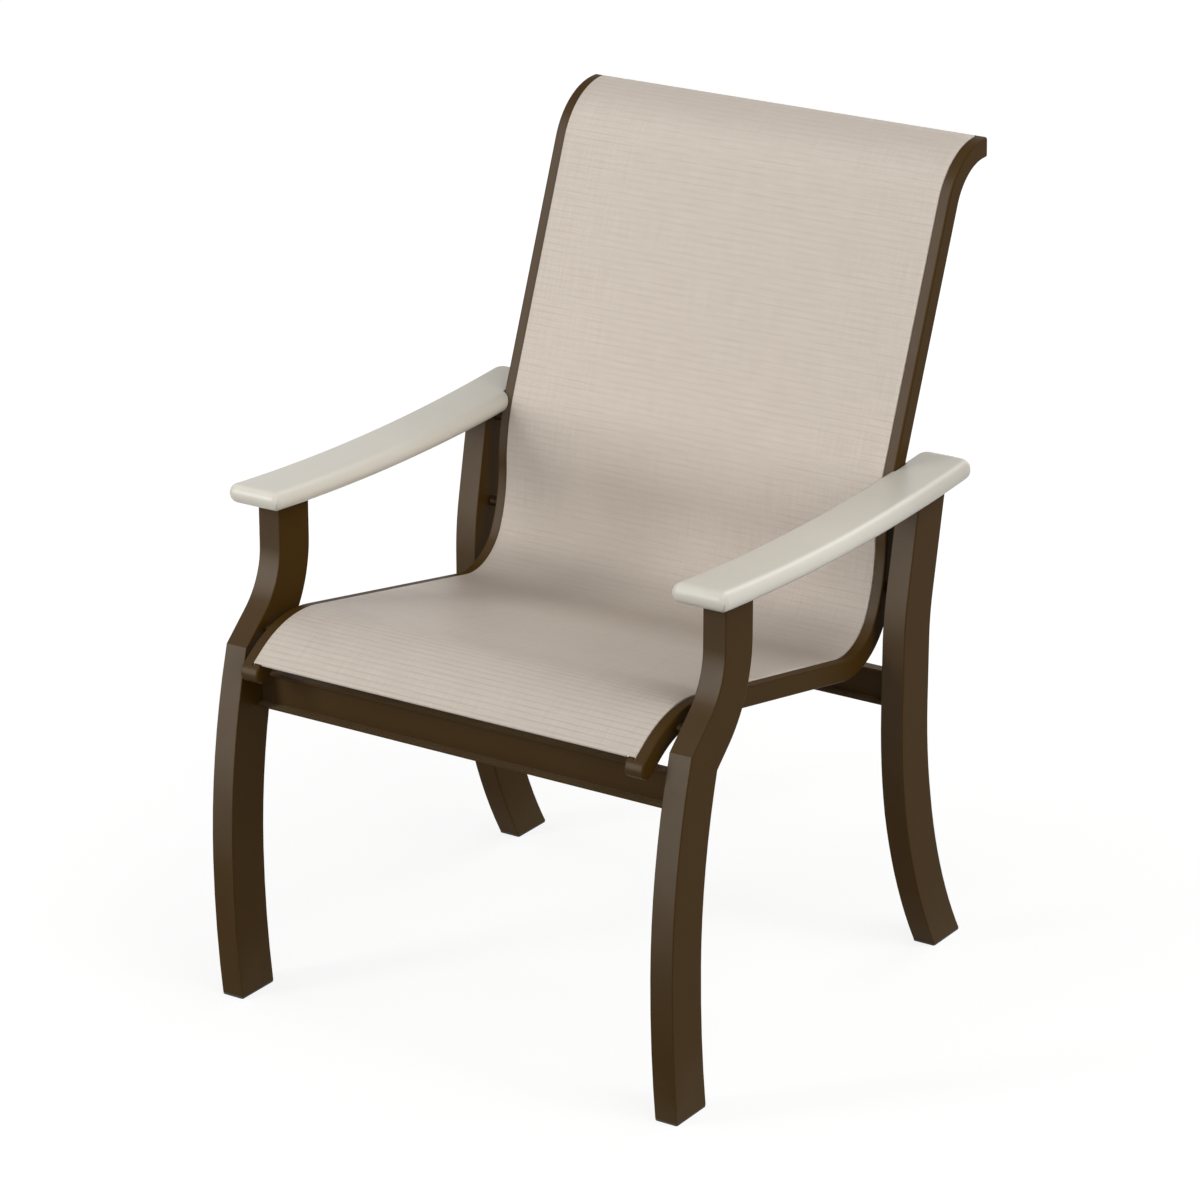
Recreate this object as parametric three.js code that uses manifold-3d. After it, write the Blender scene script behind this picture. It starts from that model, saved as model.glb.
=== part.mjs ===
// A sling patio chair: four bent tube legs, two curved arms, and a woven sheet stretched between
// two bent rails.
// Millimetres, +Z up. The chair faces -Y, and left and right are as seen from in front of it.
import * as THREE from 'three';
import { mergeVertices } from 'three/addons/utils/BufferGeometryUtils.js';
import Module from 'manifold-3d';

const wasm = await Module();
wasm.setup();
const { degToRad } = THREE.MathUtils;

// Driving dimensions. Y and Z places are taken from the front foot's front edge on the floor.

// Legs: rectangular tube, bent in the side view only
const legOuterX = 332;
const legWidth = 31;
const legDepth = 63;
const legWall = 2.5;
const legEdgeRadius = 1.5;
const frontFootY = 31.7;
const frontFootHeading = degToRad(97.8);
const frontAnkleRadius = 1367;
const frontShinRadius = 913;
const kneeHeading = degToRad(74);
const aboveKneeHeading = degToRad(42.3);
const aboveKneeRun = 41;
const armPostDepth = 60;
const armPostTaperFrom = 450;
const armPostTaperRun = 80;
const armPostRadius = 128;
const armPostRun = 72.5;
const rearFootY = 637.7;
const rearFootHeading = degToRad(121.7);
const rearFootDepth = 54;
const rearFootTaperHeight = 208;
const rearShinRadius = 652;
const rearLegStraightRun = 83;
const rearLegTopRadius = 348;
const rearLegTopHeading = degToRad(79);

// Foot glides: nylon pads with a tongue up inside each tube
const glideBase = 3;
const glideTongue = 14;
const glideEdgeRadius = 1;

// Arms: a polymer plank with full round edges, over an aluminium bar let into its underside
const armOuterX = 352.8;
const armWidth = 76;
const armThickness = 26;
const armCornerRadius = 12;
const armFrontY = 62;
const armLength = 577;
const armSag = 12.3;
const armNotchGap = 1.5;
const armBarWidth = 38;
const armBarThickness = 5;
const armBarSetback = 2;
const armScrewLength = 17;
const armScrewRadius = 2.5;
const armScrewHeadRadius = 5;
const armScrewHeadHeight = 3;
const armScrewPlaceShares = [0.25, 0.5, 0.75];

// Stretchers: channels open to the front, welded between the legs
const frontStretcher = { y: 44, z: 374, height: 47 };
const rearStretcher = { y: 535, z: 340, height: 45.5 };
const stretcherDepth = 15;
const stretcherWall = 3;

// Sling rails: a square extrusion with a slotted channel near its face, bent to the seat's side view
const railWidth = 25.4;
const railDepth = 25.4;
const railWall = 2.4;
const railEdgeRadius = 3;
const railFrontY = -1.2;
const railFrontZ = 447.3;
const railFrontHeading = degToRad(34.5);
const railNoseRun = 23;
const kneeBendRadius = 148.5;
const seatHeading = degToRad(-10.4);
const seatRun = 322;
const hipBendRadius = 71.5;
const hipHeading = degToRad(68);
const loinBendRadius = 201.5;
const loinHeading = degToRad(90);
const lumbarRun = 4;
const lumbarBendRadius = 248.5;
const backHeading = degToRad(69.1);
const backRun = 332;
const topRollRadius = 94.5;
const topHeading = degToRad(2);
const topRun = 4.5;
const slotInset = 15.5;
const slotWidth = 2.4;
const channelWidth = 6.6;
const channelDepth = 6.6;
const channelCover = 2;
const webThickness = 1.6;
const noseTongue = 14;
const noseTongueRoot = 4;
const topCapThickness = 2.5;

// Sling: one woven sheet, turned down into each slot and held by a spline below it
const fabricThickness = 1.2;
const slingFrontSetback = 2.5;
const slingTopSetback = 3;
const splineSize = 5;
const splineSetback = 2;

// Rail fixings: a standoff, a bolt and a welded nut at three places on each side
const spacerLength = 14.5;
const spacerRadius = 6.35;
const boltRadius = 3.2;
const boltHeadRadius = 6.5;
const boltHeadHeight = 3.6;
const boltDepthInRail = 16;
const boltPastNut = 2;
const nutRadius = 6.6;
const nutThickness = 5.5;
const nutSides = 6;
const frontBoltSetback = 21.5;
const rearBoltRuns = { lower: 585, upper: 698 };

// Back spreader: a flat tube bowed away from the sitter, plugged into the rails
const spreaderFromTop = 193;
const spreaderHeight = 25;
const spreaderThickness = 11;
const spreaderWall = 2;
const spreaderEndRun = 25;
const spreaderBowRadius = 150;
const spreaderBowHeading = degToRad(8);
const plugFlange = 2;
const plugTongue = 16;
const pinRadius = 4;
const pinLength = 6;

// Clearances and the fineness of the curves
const fit = 0.3;
const runningFit = 0.5;
const overrun = 40;
const chordError = 0.4;
const edgeSteps = 2;
const roundSides = 12;
const bullnoseSteps = 8;
const bullnoseReach = degToRad(84);
const halvings = 30;

const sides = { left: -1, right: 1 };
const quarter = Math.PI / 2;

const legInnerX = legOuterX - legWidth;
const railOuterX = legInnerX - spacerLength;
const railInnerX = railOuterX - railWidth;
const legCentreX = legOuterX - legWidth / 2;

const coats = {
  frame: { color: 0x4a3a28, roughness: 0.45, metalness: 0.5 },
  arm: { color: 0xd3cfc0, roughness: 0.5, metalness: 0 },
  sling: { color: 0xcbbfb2, roughness: 0.85, metalness: 0 },
  steel: { color: 0x9a9a98, roughness: 0.35, metalness: 1 },
  nylon: { color: 0x2e2620, roughness: 0.6, metalness: 0 },
  spline: { color: 0xe4e1d8, roughness: 0.6, metalness: 0 },
};

const chair = new THREE.Group();

function addPiece(name, solid, coat) {
  const mesh = new THREE.Mesh(geometryOf(solid), new THREE.MeshStandardMaterial(coats[coat]));
  mesh.name = name;
  chair.add(mesh);
}

// Closed geometries and the solids that can be joined and cut

function solidOf(geometry) {
  geometry.deleteAttribute('normal');
  geometry.deleteAttribute('uv');
  const merged = mergeVertices(geometry);
  return new wasm.Manifold(new wasm.Mesh({
    numProp: 3,
    vertProperties: new Float32Array(merged.attributes.position.array),
    triVerts: new Uint32Array(merged.index.array),
  }));
}

function geometryOf(solid) {
  const mesh = solid.getMesh();
  const geometry = new THREE.BufferGeometry();
  geometry.setAttribute('position', new THREE.BufferAttribute(mesh.vertProperties, mesh.numProp));
  geometry.setIndex(new THREE.BufferAttribute(mesh.triVerts, 1));
  geometry.computeVertexNormals();
  return geometry;
}

// A side view line of straights, bends and mitred corners, kept as stations along it.
// Headings are angles from +Y towards +Z.

function along(point, heading, distance) {
  return new THREE.Vector2(Math.cos(heading), Math.sin(heading)).multiplyScalar(distance).add(point);
}

function bendStations(start, heading, radius, newHeading) {
  const turn = newHeading - heading;
  const side = Math.sign(turn);
  const centre = along(start, heading + side * quarter, radius);
  const steps = Math.ceil(Math.abs(turn) / (2 * Math.acos(1 - chordError / radius)));
  return Array.from({ length: steps }, (_, i) => {
    const at = heading + turn * (i + 1) / steps;
    return { at: along(centre, at - side * quarter, radius), heading: at, stretch: 1 };
  });
}

function sideRoute(start, heading, moves) {
  const stations = [{ at: start, heading, stretch: 1 }];
  let ahead = heading;
  for (const move of moves) {
    const last = stations.at(-1);
    if (move.run || move.riseTo) {
      const run = move.run || (move.riseTo - last.at.y) / Math.sin(ahead);
      stations.push({ at: along(last.at, ahead, run), heading: ahead, stretch: 1 });
    } else if (move.mitre) {
      const half = (move.mitre - ahead) / 2;
      last.heading = ahead + half;
      last.stretch = 1 / Math.cos(half);
      ahead = move.mitre;
    } else {
      stations.push(...bendStations(last.at, ahead, move.radius, move.to));
      ahead = move.to;
    }
  }
  return stations;
}

// Offsets lie to the right of the way the route runs: below a seat, behind a back or a leg
function offsetPoint(station, distance) {
  return along(station.at, station.heading - quarter, distance * station.stretch);
}

function strip(route, near, far) {
  const nearEdge = route.map((station) => offsetPoint(station, near(station)));
  const farEdge = route.map((station) => offsetPoint(station, far(station)));
  return [...nearEdge, ...farEdge.reverse()];
}

function evenStrip(route, near, far) {
  return strip(route, () => near, () => far);
}

function stationAt(route, distance) {
  let left = distance;
  for (let i = 1; i < route.length; i += 1) {
    const step = route[i].at.clone().sub(route[i - 1].at);
    if (left <= step.length()) {
      const at = route[i - 1].at.clone().addScaledVector(step, left / step.length());
      return { at, heading: step.angle() > Math.PI ? step.angle() - 2 * Math.PI : step.angle(), stretch: 1 };
    }
    left -= step.length();
  }
  return route.at(-1);
}

function lengthOf(route) {
  return route.slice(1).reduce((sum, { at }, i) => sum + at.distanceTo(route[i].at), 0);
}

function yAtHeight(route, height) {
  const i = route.findIndex((station, k) => k > 0 && station.at.y >= height && route[k - 1].at.y < height);
  const low = route[i - 1].at;
  const high = route[i].at;
  return low.x + (high.x - low.x) * (height - low.y) / (high.y - low.y);
}

// Side view outlines run across the chair as solids, between two places in X on one side of it

function prism(outline, x0, x1, edgeRadius = 0) {
  const geometry = new THREE.ExtrudeGeometry(new THREE.Shape(outline), {
    depth: x1 - x0 - 2 * edgeRadius,
    bevelEnabled: edgeRadius > 0,
    bevelThickness: edgeRadius,
    bevelSize: edgeRadius,
    bevelOffset: -edgeRadius,
    bevelSegments: edgeSteps,
  });
  geometry.translate(0, 0, x0 + edgeRadius);
  geometry.applyMatrix4(new THREE.Matrix4().makeBasis(
    new THREE.Vector3(0, 1, 0),
    new THREE.Vector3(0, 0, 1),
    new THREE.Vector3(1, 0, 0),
  ));
  return solidOf(geometry);
}

function sidePrism(side, outline, inner, outer, edgeRadius = 0) {
  return side > 0 ? prism(outline, inner, outer, edgeRadius) : prism(outline, -outer, -inner, edgeRadius);
}

function box(y0, y1, z0, z1) {
  return [
    new THREE.Vector2(y0, z0),
    new THREE.Vector2(y1, z0),
    new THREE.Vector2(y1, z1),
    new THREE.Vector2(y0, z1),
  ];
}

// A block that starts at a station's end plane and runs on past it, forwards or backwards
function endBlock(station, way, depth) {
  const heading = way > 0 ? station.heading : station.heading + Math.PI;
  const near = along(station.at, station.heading + quarter, overrun);
  const far = along(station.at, station.heading - quarter, depth + overrun);
  return [near, far, along(far, heading, overrun), along(near, heading, overrun)];
}

// Round pieces turn about +Y first, then their axis is laid along a direction
function laid(geometry, origin, direction) {
  geometry.applyQuaternion(new THREE.Quaternion().setFromUnitVectors(new THREE.Vector3(0, 1, 0), direction));
  geometry.translate(origin.x, origin.y, origin.z);
  return solidOf(geometry);
}

function rod(radius, length, origin, direction, facets = roundSides) {
  const geometry = new THREE.CylinderGeometry(radius, radius, length, facets);
  geometry.translate(0, length / 2, 0);
  return laid(geometry, origin, direction);
}

function headedPin(headRadius, headHeight, shankRadius, shankLength, origin, direction) {
  const profile = [
    new THREE.Vector2(0, -headHeight),
    new THREE.Vector2(headRadius * Math.SQRT1_2, -headHeight),
    new THREE.Vector2(headRadius, -headHeight / 2),
    new THREE.Vector2(headRadius, 0),
    new THREE.Vector2(shankRadius, 0),
    new THREE.Vector2(shankRadius, shankLength),
    new THREE.Vector2(0, shankLength),
  ];
  return laid(new THREE.LatheGeometry(profile, roundSides), origin, direction);
}

const outward = (side) => new THREE.Vector3(side, 0, 0);

// Side view routes

const frontLegRoute = sideRoute(new THREE.Vector2(frontFootY, 0), frontFootHeading, [
  { radius: frontAnkleRadius, to: quarter },
  { radius: frontShinRadius, to: kneeHeading },
  { mitre: aboveKneeHeading },
  { run: aboveKneeRun },
  { radius: armPostRadius, to: quarter },
  { run: armPostRun },
]);

// The arms' middle plane meets the end of the front legs' route, and the rear legs rise to the same height
const armEndHeight = frontLegRoute.at(-1).at.y;

const rearLegRoute = sideRoute(new THREE.Vector2(rearFootY, 0), rearFootHeading, [
  { radius: rearShinRadius, to: quarter },
  { run: rearLegStraightRun },
  { radius: rearLegTopRadius, to: rearLegTopHeading },
  { riseTo: armEndHeight },
]);

function railRoute(frontExtra, topExtra) {
  const start = along(new THREE.Vector2(railFrontY, railFrontZ), railFrontHeading, -frontExtra);
  return sideRoute(start, railFrontHeading, [
    { run: railNoseRun + frontExtra },
    { radius: kneeBendRadius, to: seatHeading },
    { run: seatRun },
    { radius: hipBendRadius, to: hipHeading },
    { radius: loinBendRadius, to: loinHeading },
    { run: lumbarRun },
    { radius: lumbarBendRadius, to: backHeading },
    { run: backRun },
    { radius: topRollRadius, to: topHeading },
    { run: topRun + topExtra },
  ]);
}

const rail = railRoute(0, 0);
const longRail = railRoute(overrun, overrun);

const armHalf = armLength / 2;
const armBendRadius = (armHalf * armHalf + armSag * armSag) / (2 * armSag);
const armEndHeading = Math.asin(armHalf / armBendRadius);
const armRoute = sideRoute(new THREE.Vector2(armFrontY, armEndHeight), -armEndHeading, [
  { radius: armBendRadius, to: armEndHeading },
]);
const armUnder = armThickness / 2;
const frontLegTopY = yAtHeight(frontLegRoute, armEndHeight - armThickness);
const rearLegTopY = yAtHeight(rearLegRoute, armEndHeight - armThickness);

function armMiddle(y) {
  const fromMiddle = y - armFrontY - armHalf;
  return armEndHeight - armSag + armBendRadius - Math.sqrt(armBendRadius ** 2 - fromMiddle ** 2);
}

// The front bolt lies a little before the place where the rail's bolt line passes the leg's middle
function runToFrontLeg() {
  let near = 0;
  let far = lengthOf(rail) / 2;
  for (let i = 0; i < halvings; i += 1) {
    const run = (near + far) / 2;
    const place = offsetPoint(stationAt(rail, run), boltDepthInRail);
    if (place.x < yAtHeight(frontLegRoute, place.y)) {
      near = run;
    } else {
      far = run;
    }
  }
  return near;
}

const boltRuns = { front: runToFrontLeg() - frontBoltSetback, ...rearBoltRuns };
const boltPlaces = Object.entries(boltRuns).map(([name, run]) => {
  const at = offsetPoint(stationAt(rail, run), boltDepthInRail);
  return { name, y: at.x, z: at.y };
});

// Legs and their glides

function rearHalfDepth(station) {
  const risen = Math.min(Math.max(station.at.y / rearFootTaperHeight, 0), 1);
  return (rearFootDepth + (legDepth - rearFootDepth) * risen) / 2;
}

function frontHalfDepth(station) {
  const risen = Math.min(Math.max((station.at.y - armPostTaperFrom) / armPostTaperRun, 0), 1);
  return (legDepth + (armPostDepth - legDepth) * risen) / 2;
}

const legs = {
  front: { route: frontLegRoute, halfDepth: frontHalfDepth },
  rear: { route: rearLegRoute, halfDepth: rearHalfDepth },
};

function legTube(leg, side) {
  const start = leg.route[0];
  const below = { at: along(start.at, start.heading, -overrun), heading: start.heading, stretch: 1 };
  const route = [below, ...leg.route];
  const inside = (station) => leg.halfDepth(station) - legWall;
  const outer = strip(route, (station) => -leg.halfDepth(station), leg.halfDepth);
  const inner = strip(route, (station) => -inside(station), inside);
  const underFoot = box(start.at.x - legDepth, start.at.x + legDepth, -legDepth, glideBase);
  const overTop = evenStrip(armRoute, -armLength, armUnder + fit);
  return sidePrism(side, outer, legInnerX, legOuterX, legEdgeRadius)
    .subtract(sidePrism(side, inner, legInnerX + legWall, legOuterX - legWall))
    .subtract(sidePrism(side, underFoot, legInnerX - fit, legOuterX + fit))
    .subtract(sidePrism(side, overTop, legInnerX - fit, legOuterX + fit));
}

function footGlide(leg, side) {
  const { at, heading } = leg.route[0];
  const centre = at.x + glideBase / Math.tan(heading);
  const reach = leg.halfDepth(leg.route[0]) / Math.sin(heading);
  const pad = box(centre - reach, centre + reach, 0, glideBase);
  const tongueHalf = leg.halfDepth(leg.route[0]) - legWall - runningFit;
  const tongueInset = legWall + runningFit;
  const tongueRoute = sideRoute(at, heading, [{ run: glideTongue + glideBase }]);
  const tongue = evenStrip(tongueRoute, -tongueHalf, tongueHalf);
  const underPad = box(centre - legDepth, centre + legDepth, -legDepth, glideBase / 2);
  const tongueSolid = sidePrism(side, tongue, legInnerX + tongueInset, legOuterX - tongueInset)
    .subtract(sidePrism(side, underPad, legInnerX, legOuterX));
  return sidePrism(side, pad, legInnerX, legOuterX, glideEdgeRadius).add(tongueSolid);
}

// Arms

function armPlank(side) {
  const radius = armThickness / 2;
  const innerX = armOuterX - armWidth;
  const section = new THREE.Shape();
  section.absarc(armWidth - radius, 0, radius, -quarter, quarter);
  section.absarc(radius, 0, radius, quarter, 3 * quarter);
  const plank = new THREE.ExtrudeGeometry(section, {
    depth: armLength + 2 * fit,
    steps: armRoute.length - 1,
    curveSegments: bullnoseSteps,
    bevelEnabled: false,
  });
  plank.rotateX(quarter);
  plank.translate(side > 0 ? innerX : -armOuterX, armFrontY + armLength + fit, 0);
  const points = plank.attributes.position;
  for (let i = 0; i < points.count; i += 1) {
    points.setZ(i, points.getZ(i) + armMiddle(points.getY(i)));
  }
  return solidOf(plank)
    .intersect(sidePrism(side, armEnds(radius), innerX - fit, armOuterX + fit))
    .intersect(armPlan(side));
}

// Takes off the sharp points where the rounded edges meet, seen from above
function armPlan(side) {
  const halfWidth = armWidth / 2 - armCornerRadius;
  const middle = new THREE.Vector2(side * (armOuterX - armWidth / 2), armFrontY + armHalf);
  const corners = [[1, 1], [-1, 1], [-1, -1], [1, -1]];
  const outline = corners.flatMap(([x, y], turn) => {
    const centre = new THREE.Vector2(x * halfWidth, y * (armHalf - armCornerRadius)).add(middle);
    return Array.from({ length: bullnoseSteps + 1 }, (_, i) => (
      along(centre, quarter * (turn + i / bullnoseSteps), armCornerRadius)
    ));
  });
  const geometry = new THREE.ExtrudeGeometry(new THREE.Shape(outline), {
    depth: armSag + 2 * armThickness,
    bevelEnabled: false,
  });
  geometry.translate(0, 0, armEndHeight - armSag - armThickness);
  return solidOf(geometry);
}

function armEnds(radius) {
  const front = new THREE.Vector2(armFrontY + radius, armMiddle(armFrontY + radius));
  const rear = new THREE.Vector2(armFrontY + armLength - radius, armMiddle(armFrontY + armLength - radius));
  const arc = Array.from({ length: bullnoseSteps + 1 }, (_, i) => (
    bullnoseReach * (2 * i / bullnoseSteps - 1)
  ));
  return [
    ...arc.map((angle) => along(front, Math.PI - angle, radius)),
    new THREE.Vector2(front.x, front.y + armThickness),
    new THREE.Vector2(rear.x, rear.y + armThickness),
    ...arc.map((angle) => along(rear, -angle, radius)),
    new THREE.Vector2(rear.x, rear.y - armThickness),
    new THREE.Vector2(front.x, front.y - armThickness),
  ];
}

function armBarSlab(side, top, bottom, clearance) {
  const innerX = legCentreX - armBarWidth / 2 - clearance;
  const outerX = legCentreX + armBarWidth / 2 + clearance;
  const front = frontLegTopY - legDepth / 2 + armBarSetback - clearance;
  const rear = rearLegTopY + legDepth / 2 - armBarSetback + clearance;
  const between = box(front, rear, armEndHeight - armSag - 2 * armThickness, armEndHeight + armThickness);
  return sidePrism(side, evenStrip(armRoute, top, bottom), innerX, outerX)
    .intersect(sidePrism(side, between, innerX - fit, outerX + fit));
}

const armScrewPlaces = armScrewPlaceShares.map((share) => {
  const station = stationAt(armRoute, share * armLength);
  const up = new THREE.Vector3(0, -Math.sin(station.heading), Math.cos(station.heading));
  return { at: offsetPoint(station, armUnder), up };
});

function addArm(name, side) {
  const barTop = armUnder - armBarThickness;
  const railNotch = evenStrip(rail, -armNotchGap, railDepth + armNotchGap);
  let plank = armPlank(side)
    .subtract(armBarSlab(side, barTop - fit, armUnder + overrun, fit))
    .subtract(railPrism(side, railNotch, -armNotchGap, railWidth));
  let bar = armBarSlab(side, barTop, armUnder, 0);
  armScrewPlaces.forEach(({ at, up }, i) => {
    const seat = new THREE.Vector3(side * legCentreX, at.x, at.y);
    const below = seat.clone().addScaledVector(up, -armUnder);
    plank = plank.subtract(rod(armScrewRadius + fit, armScrewLength + fit, seat, up));
    bar = bar.subtract(rod(armScrewRadius + fit, armThickness, below, up));
    const screw = headedPin(armScrewHeadRadius, armScrewHeadHeight, armScrewRadius, armScrewLength, seat, up);
    addPiece(`${name}_arm_screw_${i + 1}`, screw, 'steel');
  });
  addPiece(`${name}_armrest`, plank, 'arm');
  addPiece(`${name}_arm_bar`, bar, 'frame');
}

// Stretchers

function stretcher({ y, z, height }) {
  const rear = y + stretcherDepth;
  const top = z + height;
  const outline = [
    new THREE.Vector2(y, z),
    new THREE.Vector2(rear, z),
    new THREE.Vector2(rear, top),
    new THREE.Vector2(y, top),
    new THREE.Vector2(y, top - stretcherWall),
    new THREE.Vector2(rear - stretcherWall, top - stretcherWall),
    new THREE.Vector2(rear - stretcherWall, z + stretcherWall),
    new THREE.Vector2(y, z + stretcherWall),
  ];
  return prism(outline, -legInnerX, legInnerX);
}

// Sling rails, their caps, the splines and the sheet.
// Rail places in X are measured inwards from the rail's outer face, and depths from its face under the sheet.

const channelBottom = channelCover + channelDepth;
const hollowTop = channelBottom + webThickness;
const hollowBottom = railDepth - railWall;
const aboutSlot = (width) => ({ from: slotInset - width / 2, to: slotInset + width / 2 });
const railVoids = [
  { ...aboutSlot(slotWidth), top: -railWall, bottom: channelBottom },
  { ...aboutSlot(channelWidth), top: channelCover, bottom: channelBottom },
  { from: railWall, to: railWidth - railWall, top: hollowTop, bottom: hollowBottom },
];

function railPrism(side, outline, from, to, edgeRadius = 0) {
  return sidePrism(side, outline, railOuterX - to, railOuterX - from, edgeRadius);
}

function slingRail(side) {
  let body = railPrism(side, evenStrip(longRail, 0, railDepth), 0, railWidth, railEdgeRadius);
  for (const { from, to, top, bottom } of railVoids) {
    body = body.subtract(railPrism(side, evenStrip(longRail, top, bottom), from, to));
  }
  for (const block of [endBlock(rail[0], -1, railDepth), endBlock(rail.at(-1), 1, railDepth)]) {
    body = body.subtract(railPrism(side, block.map(stretchEnds(block)), -fit, railWidth + fit));
  }
  for (const { y, z } of boltPlaces) {
    const start = new THREE.Vector3(side * (railInnerX - overrun), y, z);
    body = body.subtract(rod(boltRadius + fit, railWidth + 2 * overrun, start, outward(side)));
  }
  return body.subtract(spreaderPinHole(side));
}

// Moves the two far corners of an end block on, so that it takes off all of the long rail's spare end
function stretchEnds(block) {
  const ahead = block[3].clone().sub(block[0]);
  return (corner, i) => (i < 2 ? corner : corner.clone().add(ahead));
}

function capTongue(side, start, heading, length) {
  const tongue = evenStrip(sideRoute(start, heading, [{ run: length }]), hollowTop + fit, hollowBottom - fit);
  return railPrism(side, tongue, railWall + fit, railWidth - railWall - fit);
}

function noseCap(side) {
  const { at, heading } = rail[0];
  const middle = along(at, heading - quarter, railDepth / 2);
  const steps = 2 * bullnoseSteps;
  const nose = Array.from({ length: steps + 1 }, (_, i) => (
    along(middle, heading + quarter + Math.PI * i / steps, railDepth / 2)
  ));
  const ahead = [nose.at(-1), nose[0]].map((corner) => along(corner, heading, railNoseRun));
  return railPrism(side, [...nose, ...ahead], 0, railWidth, railEdgeRadius)
    .subtract(railPrism(side, endBlock(rail[0], 1, railDepth), -fit, railWidth + fit))
    .add(capTongue(side, along(at, heading, -noseTongueRoot), heading, noseTongueRoot + noseTongue));
}

function topCap(side) {
  const { at, heading } = rail.at(-1);
  const start = along(at, heading, -topRun);
  const plate = evenStrip(sideRoute(start, heading, [{ run: topRun + topCapThickness }]), 0, railDepth);
  return railPrism(side, plate, 0, railWidth, railEdgeRadius / 2)
    .subtract(railPrism(side, endBlock(rail.at(-1), -1, railDepth), -fit, railWidth + fit))
    .add(capTongue(side, start, heading, topRun + topCapThickness / 2));
}

function spline(side) {
  const top = channelBottom - fit - splineSize;
  const outline = evenStrip(railRoute(-splineSetback, -splineSetback), top, channelBottom - fit);
  return railPrism(side, outline, slotInset - splineSize / 2, slotInset + splineSize / 2);
}

function slingSheet() {
  const route = railRoute(-slingFrontSetback, -slingTopSetback);
  const edgeX = railOuterX - slotInset + fabricThickness / 2;
  const hemBottom = channelBottom - splineSize - 2 * fit;
  let sheet = prism(evenStrip(route, -fit - fabricThickness, -fit), -edgeX, edgeX);
  for (const side of Object.values(sides)) {
    const hem = evenStrip(route, -fit - fabricThickness / 2, hemBottom);
    sheet = sheet.add(railPrism(side, hem, slotInset - fabricThickness / 2, slotInset + fabricThickness / 2));
  }
  return sheet;
}

// Rail fixings

function addRailFixings(name, side) {
  for (const place of boltPlaces) {
    const at = (x) => new THREE.Vector3(side * x, place.y, place.z);
    const way = outward(side);
    const nutX = legInnerX + legWall;
    const boltLength = nutX + nutThickness + boltPastNut - railInnerX;
    const hole = rod(boltRadius + fit, 2 * overrun, at(railOuterX - fit), way);
    const spacer = rod(spacerRadius, spacerLength, at(railOuterX), way).subtract(hole);
    const nut = rod(nutRadius, nutThickness, at(nutX), way, nutSides).subtract(hole);
    addPiece(`${name}_${place.name}_rail_spacer`, spacer, 'frame');
    const bolt = headedPin(boltHeadRadius, boltHeadHeight, boltRadius, boltLength, at(railInnerX), way);
    addPiece(`${name}_${place.name}_rail_bolt`, bolt, 'steel');
    addPiece(`${name}_${place.name}_weld_nut`, nut, 'steel');
  }
}

function legWithBoltHoles(leg, side) {
  let tube = legTube(leg, side);
  for (const { y, z } of boltPlaces) {
    const start = new THREE.Vector3(side * railOuterX, y, z);
    tube = tube.subtract(rod(boltRadius + fit, spacerLength + 2 * legWall, start, outward(side)));
  }
  return tube;
}

// Back spreader: its outline is drawn in plan, with the bow to the rear, and it stands square to the back

const spreaderEndX = railInnerX - plugFlange;
const spreaderStation = stationAt(rail, lengthOf(rail) - spreaderFromTop);
const spreaderOrigin = offsetPoint(spreaderStation, boltDepthInRail);

function acrossBack(outline, height) {
  const { heading } = spreaderStation;
  const geometry = new THREE.ExtrudeGeometry(new THREE.Shape(outline), {
    depth: height,
    bevelEnabled: false,
  });
  geometry.translate(0, 0, -height / 2);
  geometry.applyMatrix4(new THREE.Matrix4().makeBasis(
    new THREE.Vector3(1, 0, 0),
    new THREE.Vector3(0, Math.sin(heading), -Math.cos(heading)),
    new THREE.Vector3(0, Math.cos(heading), Math.sin(heading)),
  ));
  geometry.translate(0, spreaderOrigin.x, spreaderOrigin.y);
  return solidOf(geometry);
}

function spreaderRoute() {
  const bowX = spreaderEndX - spreaderEndRun - spreaderBowRadius * Math.sin(spreaderBowHeading);
  return sideRoute(new THREE.Vector2(-spreaderEndX, 0), 0, [
    { run: spreaderEndRun },
    { radius: spreaderBowRadius, to: spreaderBowHeading },
    { radius: bowX / Math.sin(spreaderBowHeading), to: -spreaderBowHeading },
    { radius: spreaderBowRadius, to: 0 },
    { run: spreaderEndRun },
  ]);
}

function spreaderTube() {
  const half = spreaderThickness / 2;
  const outer = evenStrip(spreaderRoute(), -half, half);
  const inner = evenStrip(spreaderRoute(), -half + spreaderWall, half - spreaderWall);
  return acrossBack(outer, spreaderHeight).subtract(acrossBack(inner, spreaderHeight - 2 * spreaderWall));
}

function spreaderPlug(side) {
  const across = spreaderThickness / 2;
  const tongueAcross = across - spreaderWall - fit;
  const span = (from, to) => [Math.min(side * from, side * to), Math.max(side * from, side * to)];
  const tongueSpan = span(spreaderEndX - plugTongue, spreaderEndX + plugFlange / 2);
  const flange = box(...span(spreaderEndX, railInnerX), -across, across);
  const tongue = box(...tongueSpan, -tongueAcross, tongueAcross);
  const pinX = side * (railInnerX - plugFlange / 2);
  const pinStart = new THREE.Vector3(pinX, spreaderOrigin.x, spreaderOrigin.y);
  return acrossBack(flange, spreaderHeight)
    .add(acrossBack(tongue, spreaderHeight - 2 * (spreaderWall + fit)))
    .add(rod(pinRadius, pinLength + plugFlange / 2, pinStart, outward(side)));
}

function spreaderPinHole(side) {
  const start = new THREE.Vector3(side * (railInnerX - fit), spreaderOrigin.x, spreaderOrigin.y);
  return rod(pinRadius + fit, railWall + 2 * fit, start, outward(side));
}

// The chair

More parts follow.
